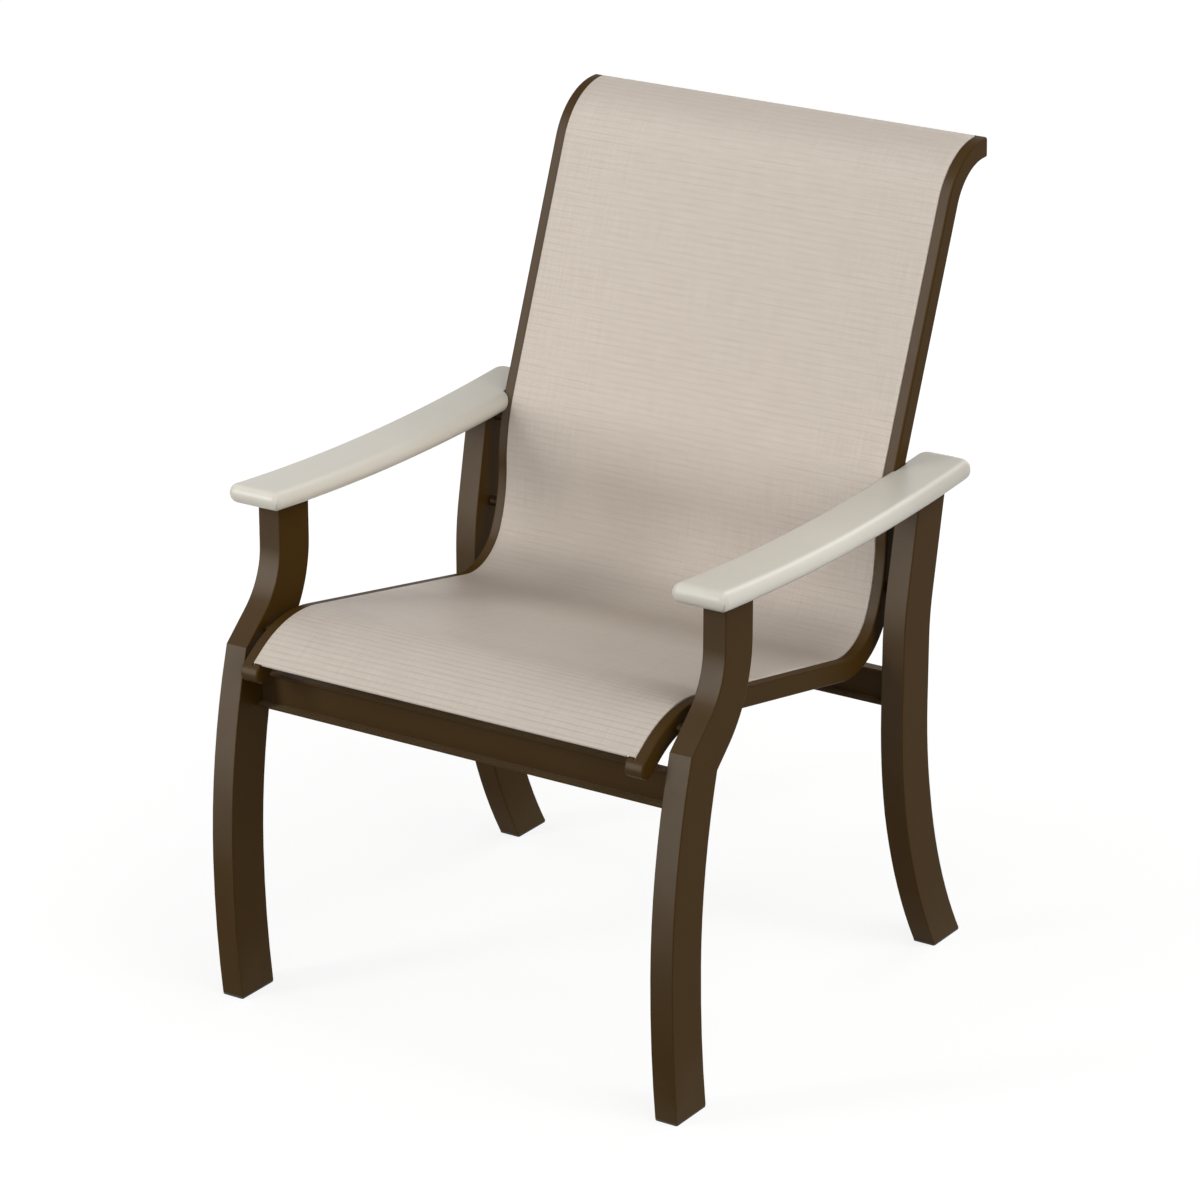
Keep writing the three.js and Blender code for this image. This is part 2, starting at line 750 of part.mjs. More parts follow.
for (const [name, side] of Object.entries(sides)) {
  for (const [end, leg] of Object.entries(legs)) {
    addPiece(`${name}_${end}_leg`, legWithBoltHoles(leg, side), 'frame');
    addPiece(`${name}_${end}_foot_glide`, footGlide(leg, side), 'nylon');
  }
  addArm(name, side);
  addPiece(`${name}_sling_rail`, slingRail(side), 'frame');
  addPiece(`${name}_rail_nose_cap`, noseCap(side), 'frame');
  addPiece(`${name}_rail_top_cap`, topCap(side), 'frame');
  addPiece(`${name}_spline`, spline(side), 'spline');
  addRailFixings(name, side);
  addPiece(`${name}_spreader_plug`, spreaderPlug(side), 'nylon');
}
addPiece('front_stretcher', stretcher(frontStretcher), 'frame');
addPiece('rear_stretcher', stretcher(rearStretcher), 'frame');
addPiece('back_spreader_bar', spreaderTube(), 'frame');
addPiece('sling_fabric', slingSheet(), 'sling');

// The origin is on the floor under the middle of the chair's overall box
const overall = new THREE.Box3().setFromObject(chair);
const middle = overall.getCenter(new THREE.Vector3());
chair.position.set(-middle.x, -middle.y, -overall.min.z);

export default chair;
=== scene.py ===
# A sling patio chair: a woven sheet stretched between two bent rails, which stand on bent flat-sided
# legs with a polymer arm on each side. Metres, +Z up, and the sitter faces -Y.
import math

import bmesh
import bpy
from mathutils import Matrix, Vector


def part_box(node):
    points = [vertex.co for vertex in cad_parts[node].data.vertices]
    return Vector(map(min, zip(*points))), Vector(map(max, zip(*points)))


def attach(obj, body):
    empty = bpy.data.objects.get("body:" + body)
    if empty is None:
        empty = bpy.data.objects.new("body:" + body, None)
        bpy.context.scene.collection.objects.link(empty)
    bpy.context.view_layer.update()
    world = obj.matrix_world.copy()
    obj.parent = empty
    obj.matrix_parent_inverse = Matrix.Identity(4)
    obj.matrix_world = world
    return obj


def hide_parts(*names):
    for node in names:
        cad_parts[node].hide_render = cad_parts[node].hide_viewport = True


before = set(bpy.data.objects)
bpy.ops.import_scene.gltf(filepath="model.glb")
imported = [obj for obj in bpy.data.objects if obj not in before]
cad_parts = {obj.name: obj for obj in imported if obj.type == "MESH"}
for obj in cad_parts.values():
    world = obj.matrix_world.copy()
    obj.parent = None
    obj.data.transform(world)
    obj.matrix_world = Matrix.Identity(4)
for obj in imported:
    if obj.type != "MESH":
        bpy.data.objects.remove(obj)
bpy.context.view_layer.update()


# Legs
# Four rectangular aluminium tubes, bent in the side view only and coated in dark bronze powder. The
# front ones have a sharp crease below the seat and end in an upright post under the arm.

SIDES = {"left": -1, "right": 1}
QUARTER_TURN = math.pi / 2
BEND_STEP = math.radians(2)
SHARP_EDGE = math.radians(28)
CORNER_STEPS = 6
CORNER_HOLD = 0.0004


def toward(heading, distance):
    return distance * Vector((math.cos(heading), math.sin(heading)))


class Station:
    """A place along a flat line of straights and bends, with the way the line runs there."""

    def __init__(self, at, heading, stretch=1.0):
        self.at = at
        self.heading = heading
        self.stretch = stretch

    def off(self, distance):
        """The point to the right of the line: below a seat, and behind a leg or a back."""
        return self.at + toward(self.heading - QUARTER_TURN, distance * self.stretch)


def route_of(start, heading, moves):
    """Stations along moves: run a length, bend by a radius to a heading, or crease to a heading."""
    stations = [Station(start, heading)]
    ahead = heading
    for kind, *sizes in moves:
        last = stations[-1]
        if kind == "run":
            stations.append(Station(last.at + toward(ahead, sizes[0]), ahead))
        elif kind == "crease":
            half = (sizes[0] - ahead) / 2
            last.heading = ahead + half
            last.stretch = 1 / math.cos(half)
            ahead = sizes[0]
        else:
            radius, new = sizes
            side = math.copysign(QUARTER_TURN, new - ahead)
            centre = last.at + toward(ahead + side, radius)
            steps = math.ceil(abs(new - ahead) / BEND_STEP)
            for i in range(1, steps + 1):
                at = ahead + (new - ahead) * i / steps
                stations.append(Station(centre + toward(at - side, radius), at))
            ahead = new
    return stations


def rounded(corners, radii):
    """A closed outline whose corners are arcs, with a point held close beside each end of an arc."""
    outline = []
    count = len(corners)
    for i, corner in enumerate(corners):
        corner = Vector(corner)
        radius = radii[i] if isinstance(radii, (list, tuple)) else radii
        back = (Vector(corners[i - 1]) - corner).normalized()
        ahead = (Vector(corners[(i + 1) % count]) - corner).normalized()
        half = back.angle(ahead) / 2
        tangent = radius / math.tan(half)
        centre = corner + (back + ahead).normalized() * (radius / math.sin(half))
        start = corner + back * tangent - centre
        turn = start.angle_signed(corner + ahead * tangent - centre)
        outline.append(tuple(corner + back * (tangent + CORNER_HOLD)))
        for k in range(CORNER_STEPS + 1):
            angle = math.atan2(start.y, start.x) - turn * k / CORNER_STEPS
            outline.append(tuple(centre + toward(angle, radius)))
        outline.append(tuple(corner + ahead * (tangent + CORNER_HOLD)))
    return outline


def rectangle(x0, y0, x1, y1):
    return [(x0, y0), (x1, y0), (x1, y1), (x0, y1)]


def piece_from(name, bm):
    bmesh.ops.recalc_face_normals(bm, faces=bm.faces)
    mesh = bpy.data.meshes.new(name)
    bm.to_mesh(mesh)
    bm.free()
    mesh.shade_smooth()
    mesh.set_sharp_from_angle(angle=SHARP_EDGE)
    piece = bpy.data.objects.new(name, mesh)
    bpy.context.scene.collection.objects.link(piece)
    return piece


def bridge(bm, rings):
    """Joins rings of points by faces, with a flat face over each end."""
    rows = [[bm.verts.new(point) for point in ring] for ring in rings]
    for low, high in zip(rows, rows[1:]):
        for i in range(len(low)):
            bm.faces.new((low[i - 1], low[i], high[i], high[i - 1]))
    bm.faces.new(rows[0])
    bm.faces.new(rows[-1])


def loft(name, rings):
    """A closed piece through rings of points."""
    bm = bmesh.new()
    bridge(bm, rings)
    return piece_from(name, bm)


def slice_at(bm, point, outward, clear=False):
    everything = bm.verts[:] + bm.edges[:] + bm.faces[:]
    bmesh.ops.bisect_plane(bm, geom=everything, plane_co=point, plane_no=outward, clear_outer=clear)


def trim(piece, point, outward):
    """Cuts the piece off flat at a plane, and closes the cut."""
    bm = bmesh.new()
    bm.from_mesh(piece.data)
    slice_at(bm, point, outward, clear=True)
    bmesh.ops.holes_fill(bm, edges=[edge for edge in bm.edges if edge.is_boundary])
    bmesh.ops.recalc_face_normals(bm, faces=bm.faces)
    bm.to_mesh(piece.data)
    bm.free()
    piece.data.set_sharp_from_angle(angle=SHARP_EDGE)


# Side view places are counted from the front foot's front edge, and the arms start this far behind it
ARM_FRONT_Y = 0.062
foot_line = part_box("right_armrest")[0].y - ARM_FRONT_Y


def in_chair(x, place):
    return Vector((x, place.x + foot_line, place.y))


def sweep(name, route, section, side):
    """A piece whose section, given as places across and depths behind the line, follows a side route."""
    return loft(name, [
        [in_chair(side * across, station.off(depth)) for across, depth in section(station)]
        for station in route
    ])


def paint(red, green, blue):
    """A colour written as it is seen on a screen, from 0 to 255, for a shader's socket."""
    return tuple(((c / 255 + 0.055) / 1.055) ** 2.4 for c in (red, green, blue)) + (1.0,)


class Wire:
    """A node's output. Sums with it add Math nodes, or Vector Math nodes where it is a vector."""

    def __init__(self, finish, socket):
        self.finish = finish
        self.socket = socket

    def to(self, operation, *others):
        return self.finish.sum(operation, self, *others)

    def __add__(self, other):
        return self.to("ADD", other)

    def __sub__(self, other):
        return self.to("SUBTRACT", other)

    def __rsub__(self, other):
        return self.finish.sum("SUBTRACT", other, self)

    def __mul__(self, other):
        return self.to("MULTIPLY", other)

    def __truediv__(self, other):
        return self.to("DIVIDE", other)

    def __rtruediv__(self, other):
        return self.finish.sum("DIVIDE", other, self)

    def __abs__(self):
        return self.to("ABSOLUTE")

    __radd__ = __add__
    __rmul__ = __mul__

    def part(self, axis):
        """One of a vector's three numbers, by its letter."""
        return self.finish.node("ShaderNodeSeparateXYZ", {}, {"Vector": self}, out=axis)


class Finish:
    """The nodes of a material or of the world, with one for each step of its pattern."""

    def __init__(self, owner, shader="Principled BSDF"):
        owner.use_nodes = True
        self.material = owner
        self.tree = owner.node_tree
        self.shader = self.tree.nodes[shader]

    def node(self, kind, settings, inputs, out):
        made = self.tree.nodes.new(kind)
        for name, value in settings.items():
            if name == "stops":
                self.set_stops(made.color_ramp.elements, value)
            else:
                setattr(made, name, value)
        for name, value in inputs.items():
            self.feed(made.inputs[name], value)
        return Wire(self, made.outputs[out])

    def set_stops(self, stops, values):
        stops.remove(stops[-1])
        for i, (place, level) in enumerate(values):
            stop = stops[0] if i == 0 else stops.new(place)
            stop.position = place
            stop.color = (level, level, level, 1.0)

    def feed(self, socket, value):
        if isinstance(value, Wire):
            self.tree.links.new(value.socket, socket)
        else:
            socket.default_value = value

    def sum(self, operation, *values):
        vectors = any(isinstance(value, Wire) and value.socket.type == "VECTOR" for value in values)
        kind = "ShaderNodeVectorMath" if vectors else "ShaderNodeMath"
        out = "Vector" if vectors and operation not in ("DOT_PRODUCT", "LENGTH") else "Value"
        return self.node(kind, {"operation": operation}, dict(enumerate(values)), out)

    def mix(self, factor, plain, other):
        """Between two colours, by a factor from 0 to 1. The numbers are the Mix node's colour sockets."""
        inputs = {0: factor, 6: plain, 7: other}
        return self.node("ShaderNodeMix", {"data_type": "RGBA"}, inputs, out=2)

    def clouds(self, place, scale, detail=2.0):
        """Soft noise about one half, in cycles to the metre."""
        inputs = {"Vector": place, "Scale": scale, "Detail": detail}
        return self.node("ShaderNodeTexNoise", {}, inputs, out="Fac")

    def ramp(self, place, *stops):
        """A level that runs straight from stop to stop, each given as a place and a level."""
        return self.node("ShaderNodeValToRGB", {"stops": stops}, {"Fac": place}, out="Color")

    def relief(self, height, depth):
        """Raised grain: a height from 0 to 1 stands this many metres high."""
        return self.node("ShaderNodeBump", {}, {"Height": height, "Distance": depth}, out="Normal")

    def place(self):
        return self.node("ShaderNodeTexCoord", {}, {}, out="Object")

    def set(self, **values):
        """Shader sockets by name, with a low line for each space."""
        for name, value in values.items():
            self.feed(self.shader.inputs[name.replace("_", " ")], value)


def finish_named(name):
    return Finish(bpy.data.materials.new(name))


# Painted highlight: the way a face turns to take it, and how much it takes by how far it turns that way
HIGHLIGHT_WAY = (0.0, -0.94, 0.34)
HIGHLIGHT_BY_TURN = [(0.55, 0.0), (0.8, 0.16), (0.88, 0.22), (0.94, 0.34), (0.985, 0.9), (1.0, 1.0)]
# Height in metres, and the share of that painted highlight which shows there
HIGHLIGHT_BY_HEIGHT = [(0.03, 0.15), (0.3, 1.0)]
# Painted light by how far a face looks up, and the height below which dust gathers on the feet
TOP_LIGHT_BY_TURN = [(0.9, 0.0), (0.98, 1.0)]
LOW_DUST_HEIGHT = 0.09
ORANGE_PEEL_DEPTH = 0.00004
BRONZE = [paint(62, 42, 12), paint(67, 47, 16)]
BRONZE_FLECK = paint(84, 66, 40)
HIGHLIGHT_BRONZE = paint(103, 91, 78)
TOP_LIT_BRONZE = paint(148, 127, 97)
DUSTY_FOOT = paint(112, 101, 84)


def powder_coat(name, highlight_share, top_light_share):
    """Satin bronze powder with a fine orange peel, and shares of painted highlight and painted top light.
    """
    coat = finish_named(name)
    place = coat.place()
    broad = coat.clouds(place, 14)
    peel = coat.clouds(place, 620, 1.0)
    speck = coat.clouds(place, 2400, 1.0)
    height = place.part("Z")
    low = (1 - height / LOW_DUST_HEIGHT).to("MAXIMUM", 0.0) * broad
    flecked = coat.mix((speck - 0.62).to("MAXIMUM", 0.0) * 1.2, coat.mix(broad, *BRONZE), BRONZE_FLECK)
    facing = coat.node("ShaderNodeNewGeometry", {}, {}, out="Normal")
    # Painted highlight on faces turned towards the front
    turned_to_highlight = coat.ramp(facing.to("DOT_PRODUCT", HIGHLIGHT_WAY), *HIGHLIGHT_BY_TURN)
    painted_highlight = turned_to_highlight * coat.ramp(height, *HIGHLIGHT_BY_HEIGHT) * (broad * 0.4 + 0.75) * highlight_share
    # Painted light on faces that look up, lighter as they turn to face straight up
    painted_top_light = coat.ramp(facing.part("Z"), *TOP_LIGHT_BY_TURN) * (broad * 0.6 + 0.5) * top_light_share
    with_painted_light = coat.mix(painted_top_light, coat.mix(painted_highlight, flecked, HIGHLIGHT_BRONZE), TOP_LIT_BRONZE)
    coat.set(
        Base_Color=coat.mix(low * 0.35, with_painted_light, DUSTY_FOOT),
        Roughness=0.36 + broad * 0.06 + low * 0.3,
        Normal=coat.relief(peel * 0.85 + speck * 0.15, ORANGE_PEEL_DEPTH),
        Specular_IOR_Level=0.03,
    )
    return coat.material


# The legs, arm bars and spacers take the full painted highlight and no painted top light
frame_coat = powder_coat("frame_powder_coat", 1.0, 0.0)


def seat_piece(piece, material, slot, *nodes):
    """Gives a piece its finish and its place on the chair, and hides the plain solids it stands for."""
    piece.data.materials.append(material)
    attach(piece, "root")
    if nodes:
        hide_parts(*nodes)
    return piece


LEG_DEPTH = 0.063
ARM_POST_DEPTH = 0.060
ARM_POST_TAPER_Z = 0.450
ARM_POST_TAPER_RISE = 0.080
REAR_FOOT_DEPTH = 0.054
REAR_FOOT_TAPER_Z = 0.208
LEG_CORNER = 0.0016
# Each tube is drawn this far below the floor, and is then cut off level above its glide
LEG_OVERRUN = 0.04
FOOT_CUT_Z = 0.003
leg_inner_x, leg_outer_x = (corner.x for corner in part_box("right_front_leg"))

front_leg = route_of(Vector((0.0317, 0)), math.radians(97.8), [
    ("bend", 1.367, QUARTER_TURN),
    ("bend", 0.913, math.radians(74)),
    ("crease", math.radians(42.3)),
    ("run", 0.041),
    ("bend", 0.128, QUARTER_TURN),
    ("run", 0.0725),
])
arm_end_z = front_leg[-1].at.y
rear_leg = route_of(Vector((0.6377, 0)), math.radians(121.7), [
    ("bend", 0.652, QUARTER_TURN),
    ("run", 0.083),
    ("bend", 0.348, math.radians(79)),
    ("run", 0.15),
])

ARM_LENGTH = 0.577
ARM_SAG = 0.0123
ARM_THICKNESS = 0.026
arm_half = ARM_LENGTH / 2
arm_radius = (arm_half ** 2 + ARM_SAG ** 2) / (2 * ARM_SAG)


def arm_middle(y):
    """Height of the arm's middle plane, which sags in a long arc."""
    past = y - ARM_FRONT_Y - arm_half
    return arm_end_z - ARM_SAG + arm_radius - math.sqrt(arm_radius ** 2 - past ** 2)


def arm_slope(y0, y1):
    return (arm_middle(y1) - arm_middle(y0)) / (y1 - y0)


def share_risen(z, start, rise):
    return min(max((z - start) / rise, 0), 1)


def front_depth(z):
    risen = share_risen(z, ARM_POST_TAPER_Z, ARM_POST_TAPER_RISE)
    return LEG_DEPTH + (ARM_POST_DEPTH - LEG_DEPTH) * risen


def rear_depth(z):
    return REAR_FOOT_DEPTH + (LEG_DEPTH - REAR_FOOT_DEPTH) * share_risen(z, 0, REAR_FOOT_TAPER_Z)


def leg(name, route, depth_at, side):
    below = Station(route[0].at - toward(route[0].heading, LEG_OVERRUN), route[0].heading)

    def section(station):
        half = depth_at(station.at.y) / 2
        return rounded(rectangle(leg_inner_x, -half, leg_outer_x, half), LEG_CORNER)

    tube = sweep(f"{name}_tube", [below, *route], section, side)
    trim(tube, (0, 0, FOOT_CUT_Z), (0, 0, -1))
    top = route[-1].at
    under = Vector((top.x, arm_middle(top.x) - ARM_THICKNESS / 2))
    trim(tube, in_chair(0, under), (0, -arm_slope(top.x, top.x + arm_half / 10), 1))
    seat_piece(tube, frame_coat, "frame_coat", f"{name}_leg")


for name, side in SIDES.items():
    leg(f"{name}_front", front_leg, front_depth, side)
    leg(f"{name}_rear", rear_leg, rear_depth, side)


# Foot glides
# A moulded pad of dark nylon under each tube, pressed in by a tongue that the tube hides. Its edges
# are eased towards the floor and towards the tube.

GLIDE_HEIGHT = 0.003
GLIDE_CORNER = 0.0025
GLIDE_EASE_SHARES = [(0.0, 0.33), (0.12, 0.12), (0.35, 0.0), (0.8, 0.0), (1.0, 0.14)]
NYLON_GRAIN_DEPTH = 0.00005
NYLON = [paint(38, 32, 27), paint(52, 45, 39)]


def dark_nylon():
    nylon = finish_named("dark_nylon")
    place = nylon.place()
    broad = nylon.clouds(place, 60)
    grain = nylon.clouds(place, 1500, 1.0)
    nylon.set(
        Base_Color=nylon.mix(broad, *NYLON),
        Roughness=0.55 + grain * 0.15,
        Normal=nylon.relief(grain, NYLON_GRAIN_DEPTH),
    )
    return nylon.material


nylon_trim = dark_nylon()


def glide(node):
    low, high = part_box(node)
    rings = []
    for rise, ease in GLIDE_EASE_SHARES:
        inset = ease * GLIDE_HEIGHT
        corners = rectangle(low.x + inset, low.y + inset, high.x - inset, high.y - inset)
        outline = rounded(corners, GLIDE_CORNER)
        rings.append([(x, y, rise * GLIDE_HEIGHT) for x, y in outline])
    seat_piece(loft(f"{node}_pad", rings), nylon_trim, "nylon_trim", node)


for name in SIDES:
    glide(f"{name}_front_foot_glide")
    glide(f"{name}_rear_foot_glide")


# Stretchers
# Two aluminium channels, open to the front, welded between the legs under the seat. They are coated
# with the legs, so the powder runs over the welds.

STRETCHER_WALL = 0.003
STRETCHER_CORNER = 0.0006
# The stretchers take less of the painted highlight, and painted light on their upward faces
stretcher_coat = powder_coat("stretcher_powder_coat", 0.4, 0.6)


def stretcher(node):
    low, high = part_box(node)
    back = high.y - STRETCHER_WALL
    floor = low.z + STRETCHER_WALL
    roof = high.z - STRETCHER_WALL
    corners = [
        (low.y, low.z), (high.y, low.z), (high.y, high.z), (low.y, high.z),
        (low.y, roof), (back, roof), (back, floor), (low.y, floor),
    ]
    outline = rounded(corners, STRETCHER_CORNER)
    rings = [[(x, y, z) for y, z in outline] for x in (-leg_inner_x, leg_inner_x)]
    seat_piece(loft(f"{node}_channel", rings), stretcher_coat, "frame_coat", node)


stretcher("front_stretcher")
stretcher("rear_stretcher")


# Arm bars
# A flat aluminium bar welded on top of each pair of leg posts, coated with them and let into the
# underside of the polymer arm.

ARM_BAR_THICKNESS = 0.005
ARM_BAR_EDGE = 0.0008
ARM_STEPS = 40


def arm_under(y):
    """Height of the arm's underside at a place in the chair."""
    return arm_middle(y - foot_line) - ARM_THICKNESS / 2


def rings_along_arm(y0, y1, outline_on):
    """Rings across the arm at even steps along it, each an outline on the height of its underside."""
    places = [y0 + (y1 - y0) * i / ARM_STEPS for i in range(ARM_STEPS + 1)]
    return [[(x, y, z) for x, z in outline_on(arm_under(y))] for y in places]


def arm_bar(node):
    low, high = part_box(node)

    def outline(under):
        return rounded(rectangle(low.x, under, high.x, under + ARM_BAR_THICKNESS), ARM_BAR_EDGE)

    rings = rings_along_arm(low.y, high.y, outline)
    seat_piece(loft(f"{node}_flat", rings), frame_coat, "frame_coat", node)


# Armrests
# Each is one moulded plank of off-white outdoor polymer with full round edges all round. Where two
# round edges meet there is a crease, with a fine groove in its lower half, and the inner edge is
# notched for the rail.

ARM_FRONT_CORNER = 0.0095
ARM_REAR_CORNER = 0.017
ARM_CREASE = 0.001
ARM_GROOVE = 0.0009
ARM_GROOVE_HALF_WIDTH = 0.0006
# The groove is full from one part in this many of the half thickness below the arm's middle
ARM_GROOVE_FADE = 4
BULLNOSE_STEPS = 14
# A rounded corner has the points of its arc and one held close beside each end
CORNER_POINTS = CORNER_STEPS + 3
NOTCH_GAP = 0.0015
RECESS_GAP = 0.0003
POLYMER_GRAIN_DEPTH = 0.00005
# The streaks are drawn out along the arm, which stretches their pattern there
ARM_STREAKS = (1.0, 0.12, 1.0)
CREAM = [paint(211, 206, 193), paint(218, 213, 201)]
SHADED_CREAM = paint(178, 173, 161)
STREAKED_CREAM = paint(201, 197, 184)
# Metres behind a line this far in front of the chair's middle, and how much painted shade darkens the arm
# there
ARM_SHADE_LINE = 0.4
ARM_REAR_SHADE = [(0.0, 0.1), (0.2, 0.06), (0.35, 0.04), (0.45, 0.3), (0.6, 0.8)]


def arm_polymer():
    """Moulded polymer with drawn-out streaks and a fine grain, and painted shade towards its rear end."""
    polymer = finish_named("off_white_polymer")
    place = polymer.place()
    broad = polymer.clouds(place, 11, 3.0)
    streak = polymer.clouds(place * ARM_STREAKS, 240, 2.0)
    grain = polymer.clouds(place, 1300, 1.0)
    # Painted shade that darkens the arm towards its rear end
    rear_shade = polymer.ramp(place.part("Y") + ARM_SHADE_LINE, *ARM_REAR_SHADE) * (0.7 + broad * 0.6)
    shaded = polymer.mix(rear_shade, polymer.mix(broad, *CREAM), SHADED_CREAM)
    polymer.set(
        Base_Color=polymer.mix(streak * 0.25, shaded, STREAKED_CREAM),
        Roughness=0.27 + broad * 0.08 + grain * 0.05,
        Normal=polymer.relief(grain * 0.6 + streak * 0.4, POLYMER_GRAIN_DEPTH),
    )
    return polymer.material


arm_white = arm_polymer()


def cut(piece, cutter):
    """Takes the cutter's shape out of the piece, and removes the cutter."""
    change = piece.modifiers.new("cut", "BOOLEAN")
    change.object = cutter
    change.solver = "EXACT"
    bpy.context.view_layer.update()
    shaped = bpy.data.meshes.new_from_object(piece.evaluated_get(bpy.context.evaluated_depsgraph_get()))
    piece.modifiers.clear()
    piece.data = shaped
    bpy.data.objects.remove(cutter)
    piece.data.shade_smooth()
    piece.data.set_sharp_from_angle(angle=SHARP_EDGE)


def groove_corners(outline, depth):
    """Draws the middle of each corner in by a depth, and holds the points beside it close to it."""
    for corner in range(4):
        at = corner * CORNER_POINTS + CORNER_POINTS // 2
        tip = outline[at]
        for beside in (at - 1, at + 1):
            reach = (outline[beside] - tip).length
            outline[beside] = tip.lerp(outline[beside], min(ARM_GROOVE_HALF_WIDTH / reach, 1))
        inward = Vector((-math.copysign(1, tip.x), -math.copysign(1, tip.y)))
        outline[at] = tip + inward * depth


def plank(name, x_middle, width):
    """A flat rounded plank, sliced across so that it can then follow the arm's sag."""
    y_middle = ARM_FRONT_Y + arm_half + foot_line
    radius = ARM_THICKNESS / 2
    rings = []
    for i in range(BULLNOSE_STEPS + 1):
        angle = math.pi * (i / BULLNOSE_STEPS - 0.5)
        inset = radius * (1 - math.cos(angle))
        w, h = width / 2 - inset, arm_half - inset
        front, rear = (max(corner - inset, ARM_CREASE) for corner in (ARM_FRONT_CORNER, ARM_REAR_CORNER))
        corners = rounded(rectangle(-w, -h, w, h), [front, front, rear, rear])
        outline = [Vector(point) for point in corners]
        groove_corners(outline, ARM_GROOVE * min(max(-math.sin(angle) * ARM_GROOVE_FADE, 0), 1))
        rings.append([(p.x + x_middle, p.y + y_middle, radius * math.sin(angle)) for p in outline])
    flat = loft(name, rings)
    bm = bmesh.new()
    bm.from_mesh(flat.data)
    for i in range(1, ARM_STEPS):
        slice_at(bm, (0, y_middle + ARM_LENGTH * (i / ARM_STEPS - 0.5), 0), (0, 1, 0))
    for vert in bm.verts:
        vert.co.z += arm_middle(vert.co.y - foot_line)
    bm.to_mesh(flat.data)
    bm.free()
    return flat


def bar_recess(node):
    low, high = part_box(node)
    x0, x1 = low.x - RECESS_GAP, high.x + RECESS_GAP

    def outline(under):
        return rectangle(x0, under - ARM_THICKNESS, x1, under + ARM_BAR_THICKNESS + RECESS_GAP)

    return loft("recess_cutter", rings_along_arm(low.y - RECESS_GAP, high.y + RECESS_GAP, outline))


# The rail that the arm is notched for: its side route runs from the round nose to the roll at the top
RAIL_WIDTH = 0.0254
RAIL_DEPTH = 0.0254
rail = route_of(Vector((-0.0012, 0.4473)), math.radians(34.5), [
    ("run", 0.023),
    ("bend", 0.1485, math.radians(-10.4)),
    ("run", 0.322),
    ("bend", 0.0715, math.radians(68)),
    ("bend", 0.2015, QUARTER_TURN),
    ("run", 0.004),
    ("bend", 0.2485, math.radians(69.1)),
    ("run", 0.332),
    ("bend", 0.0945, math.radians(2)),
    ("run", 0.0045),
])
rail_outer_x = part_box("right_sling_rail")[1].x
rail_inner_x = rail_outer_x - RAIL_WIDTH


def rail_notch(side):
    corners = rectangle(rail_inner_x, -NOTCH_GAP, rail_outer_x + NOTCH_GAP, RAIL_DEPTH + NOTCH_GAP)
    return sweep("notch_cutter", rail, lambda station: corners, side)


for name, side in SIDES.items():
    arm_bar(f"{name}_arm_bar")
    low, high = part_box(f"{name}_armrest")
    arm = plank(f"{name}_arm_plank", (low.x + high.x) / 2, high.x - low.x)
    cut(arm, bar_recess(f"{name}_arm_bar"))
    cut(arm, rail_notch(side))
    seat_piece(arm, arm_white, "arm_polymer", f"{name}_armrest")


# Arm screws and rail bolts
# Stainless button heads with a hexagonal socket: three screws up into each arm, and three bolts
# through each rail into nuts welded inside the legs.

SCREW_SIDES = 36
SOCKET_SHARE = 0.42
SOCKET_DEPTH_SHARE = 0.55
SOCKET_RIM_SHARE = 1.12
CROWN_STEPS = 8
HEXAGON_HALF = math.pi / 6
TURNING_DEPTH = 0.00003
STAINLESS = [paint(150, 149, 146), paint(182, 181, 178)]


def stainless():
    steel = finish_named("plain_stainless")
    place = steel.place()
    turned = steel.clouds(place, 900, 2.0)
    dull = steel.clouds(place, 120)
    steel.set(
        Base_Color=steel.mix(dull, *STAINLESS),
        Metallic=1.0,
        Roughness=0.28 + turned * 0.18,
        Normal=steel.relief(turned, TURNING_DEPTH),
    )
    return steel.material


steel = stainless()


def ring_about(origin, axis, along, radius_at):
    """A ring of points about an axis, which can be a circle or a hexagon."""
    side_way = axis.orthogonal().normalized()
    up_way = axis.cross(side_way)
    ring = []
    for i in range(SCREW_SIDES):
        angle = 2 * math.pi * i / SCREW_SIDES
        reach = radius_at(angle)
        way = side_way * math.cos(angle) + up_way * math.sin(angle)
        ring.append(origin + axis * along + way * reach)
    return ring


def circle(radius):
    return lambda angle: radius


def button_head(name, node, origin, axis, radius, height, shank, length):
    """The head stands back from the origin, and the shank runs on along the axis."""
    socket = radius * SOCKET_SHARE

    def hexagon(angle):
        return socket * math.cos(HEXAGON_HALF) / math.cos(angle % (2 * HEXAGON_HALF) - HEXAGON_HALF)

    rim = socket * SOCKET_RIM_SHARE
    rings = [ring_about(origin, axis, length, circle(shank)), ring_about(origin, axis, 0, circle(shank))]
    for i in range(CROWN_STEPS + 1):
        angle = QUARTER_TURN * i / CROWN_STEPS
        reach = rim + (radius - rim) * math.cos(angle)
        rings.append(ring_about(origin, axis, -height * math.sin(angle), circle(reach)))
    rings.append(ring_about(origin, axis, -height, hexagon))
    rings.append(ring_about(origin, axis, -height * (1 - SOCKET_DEPTH_SHARE), hexagon))
    seat_piece(loft(name, rings), steel, "fastener_steel", node)


ARM_SCREW_RADIUS = 0.0025
ARM_SCREW_HEAD_RADIUS = 0.005
ARM_SCREW_HEAD_HEIGHT = 0.003
ARM_SCREW_LENGTH = 0.017
BOLT_RADIUS = 0.0032
BOLT_HEAD_RADIUS = 0.0065
BOLT_HEAD_HEIGHT = 0.0036


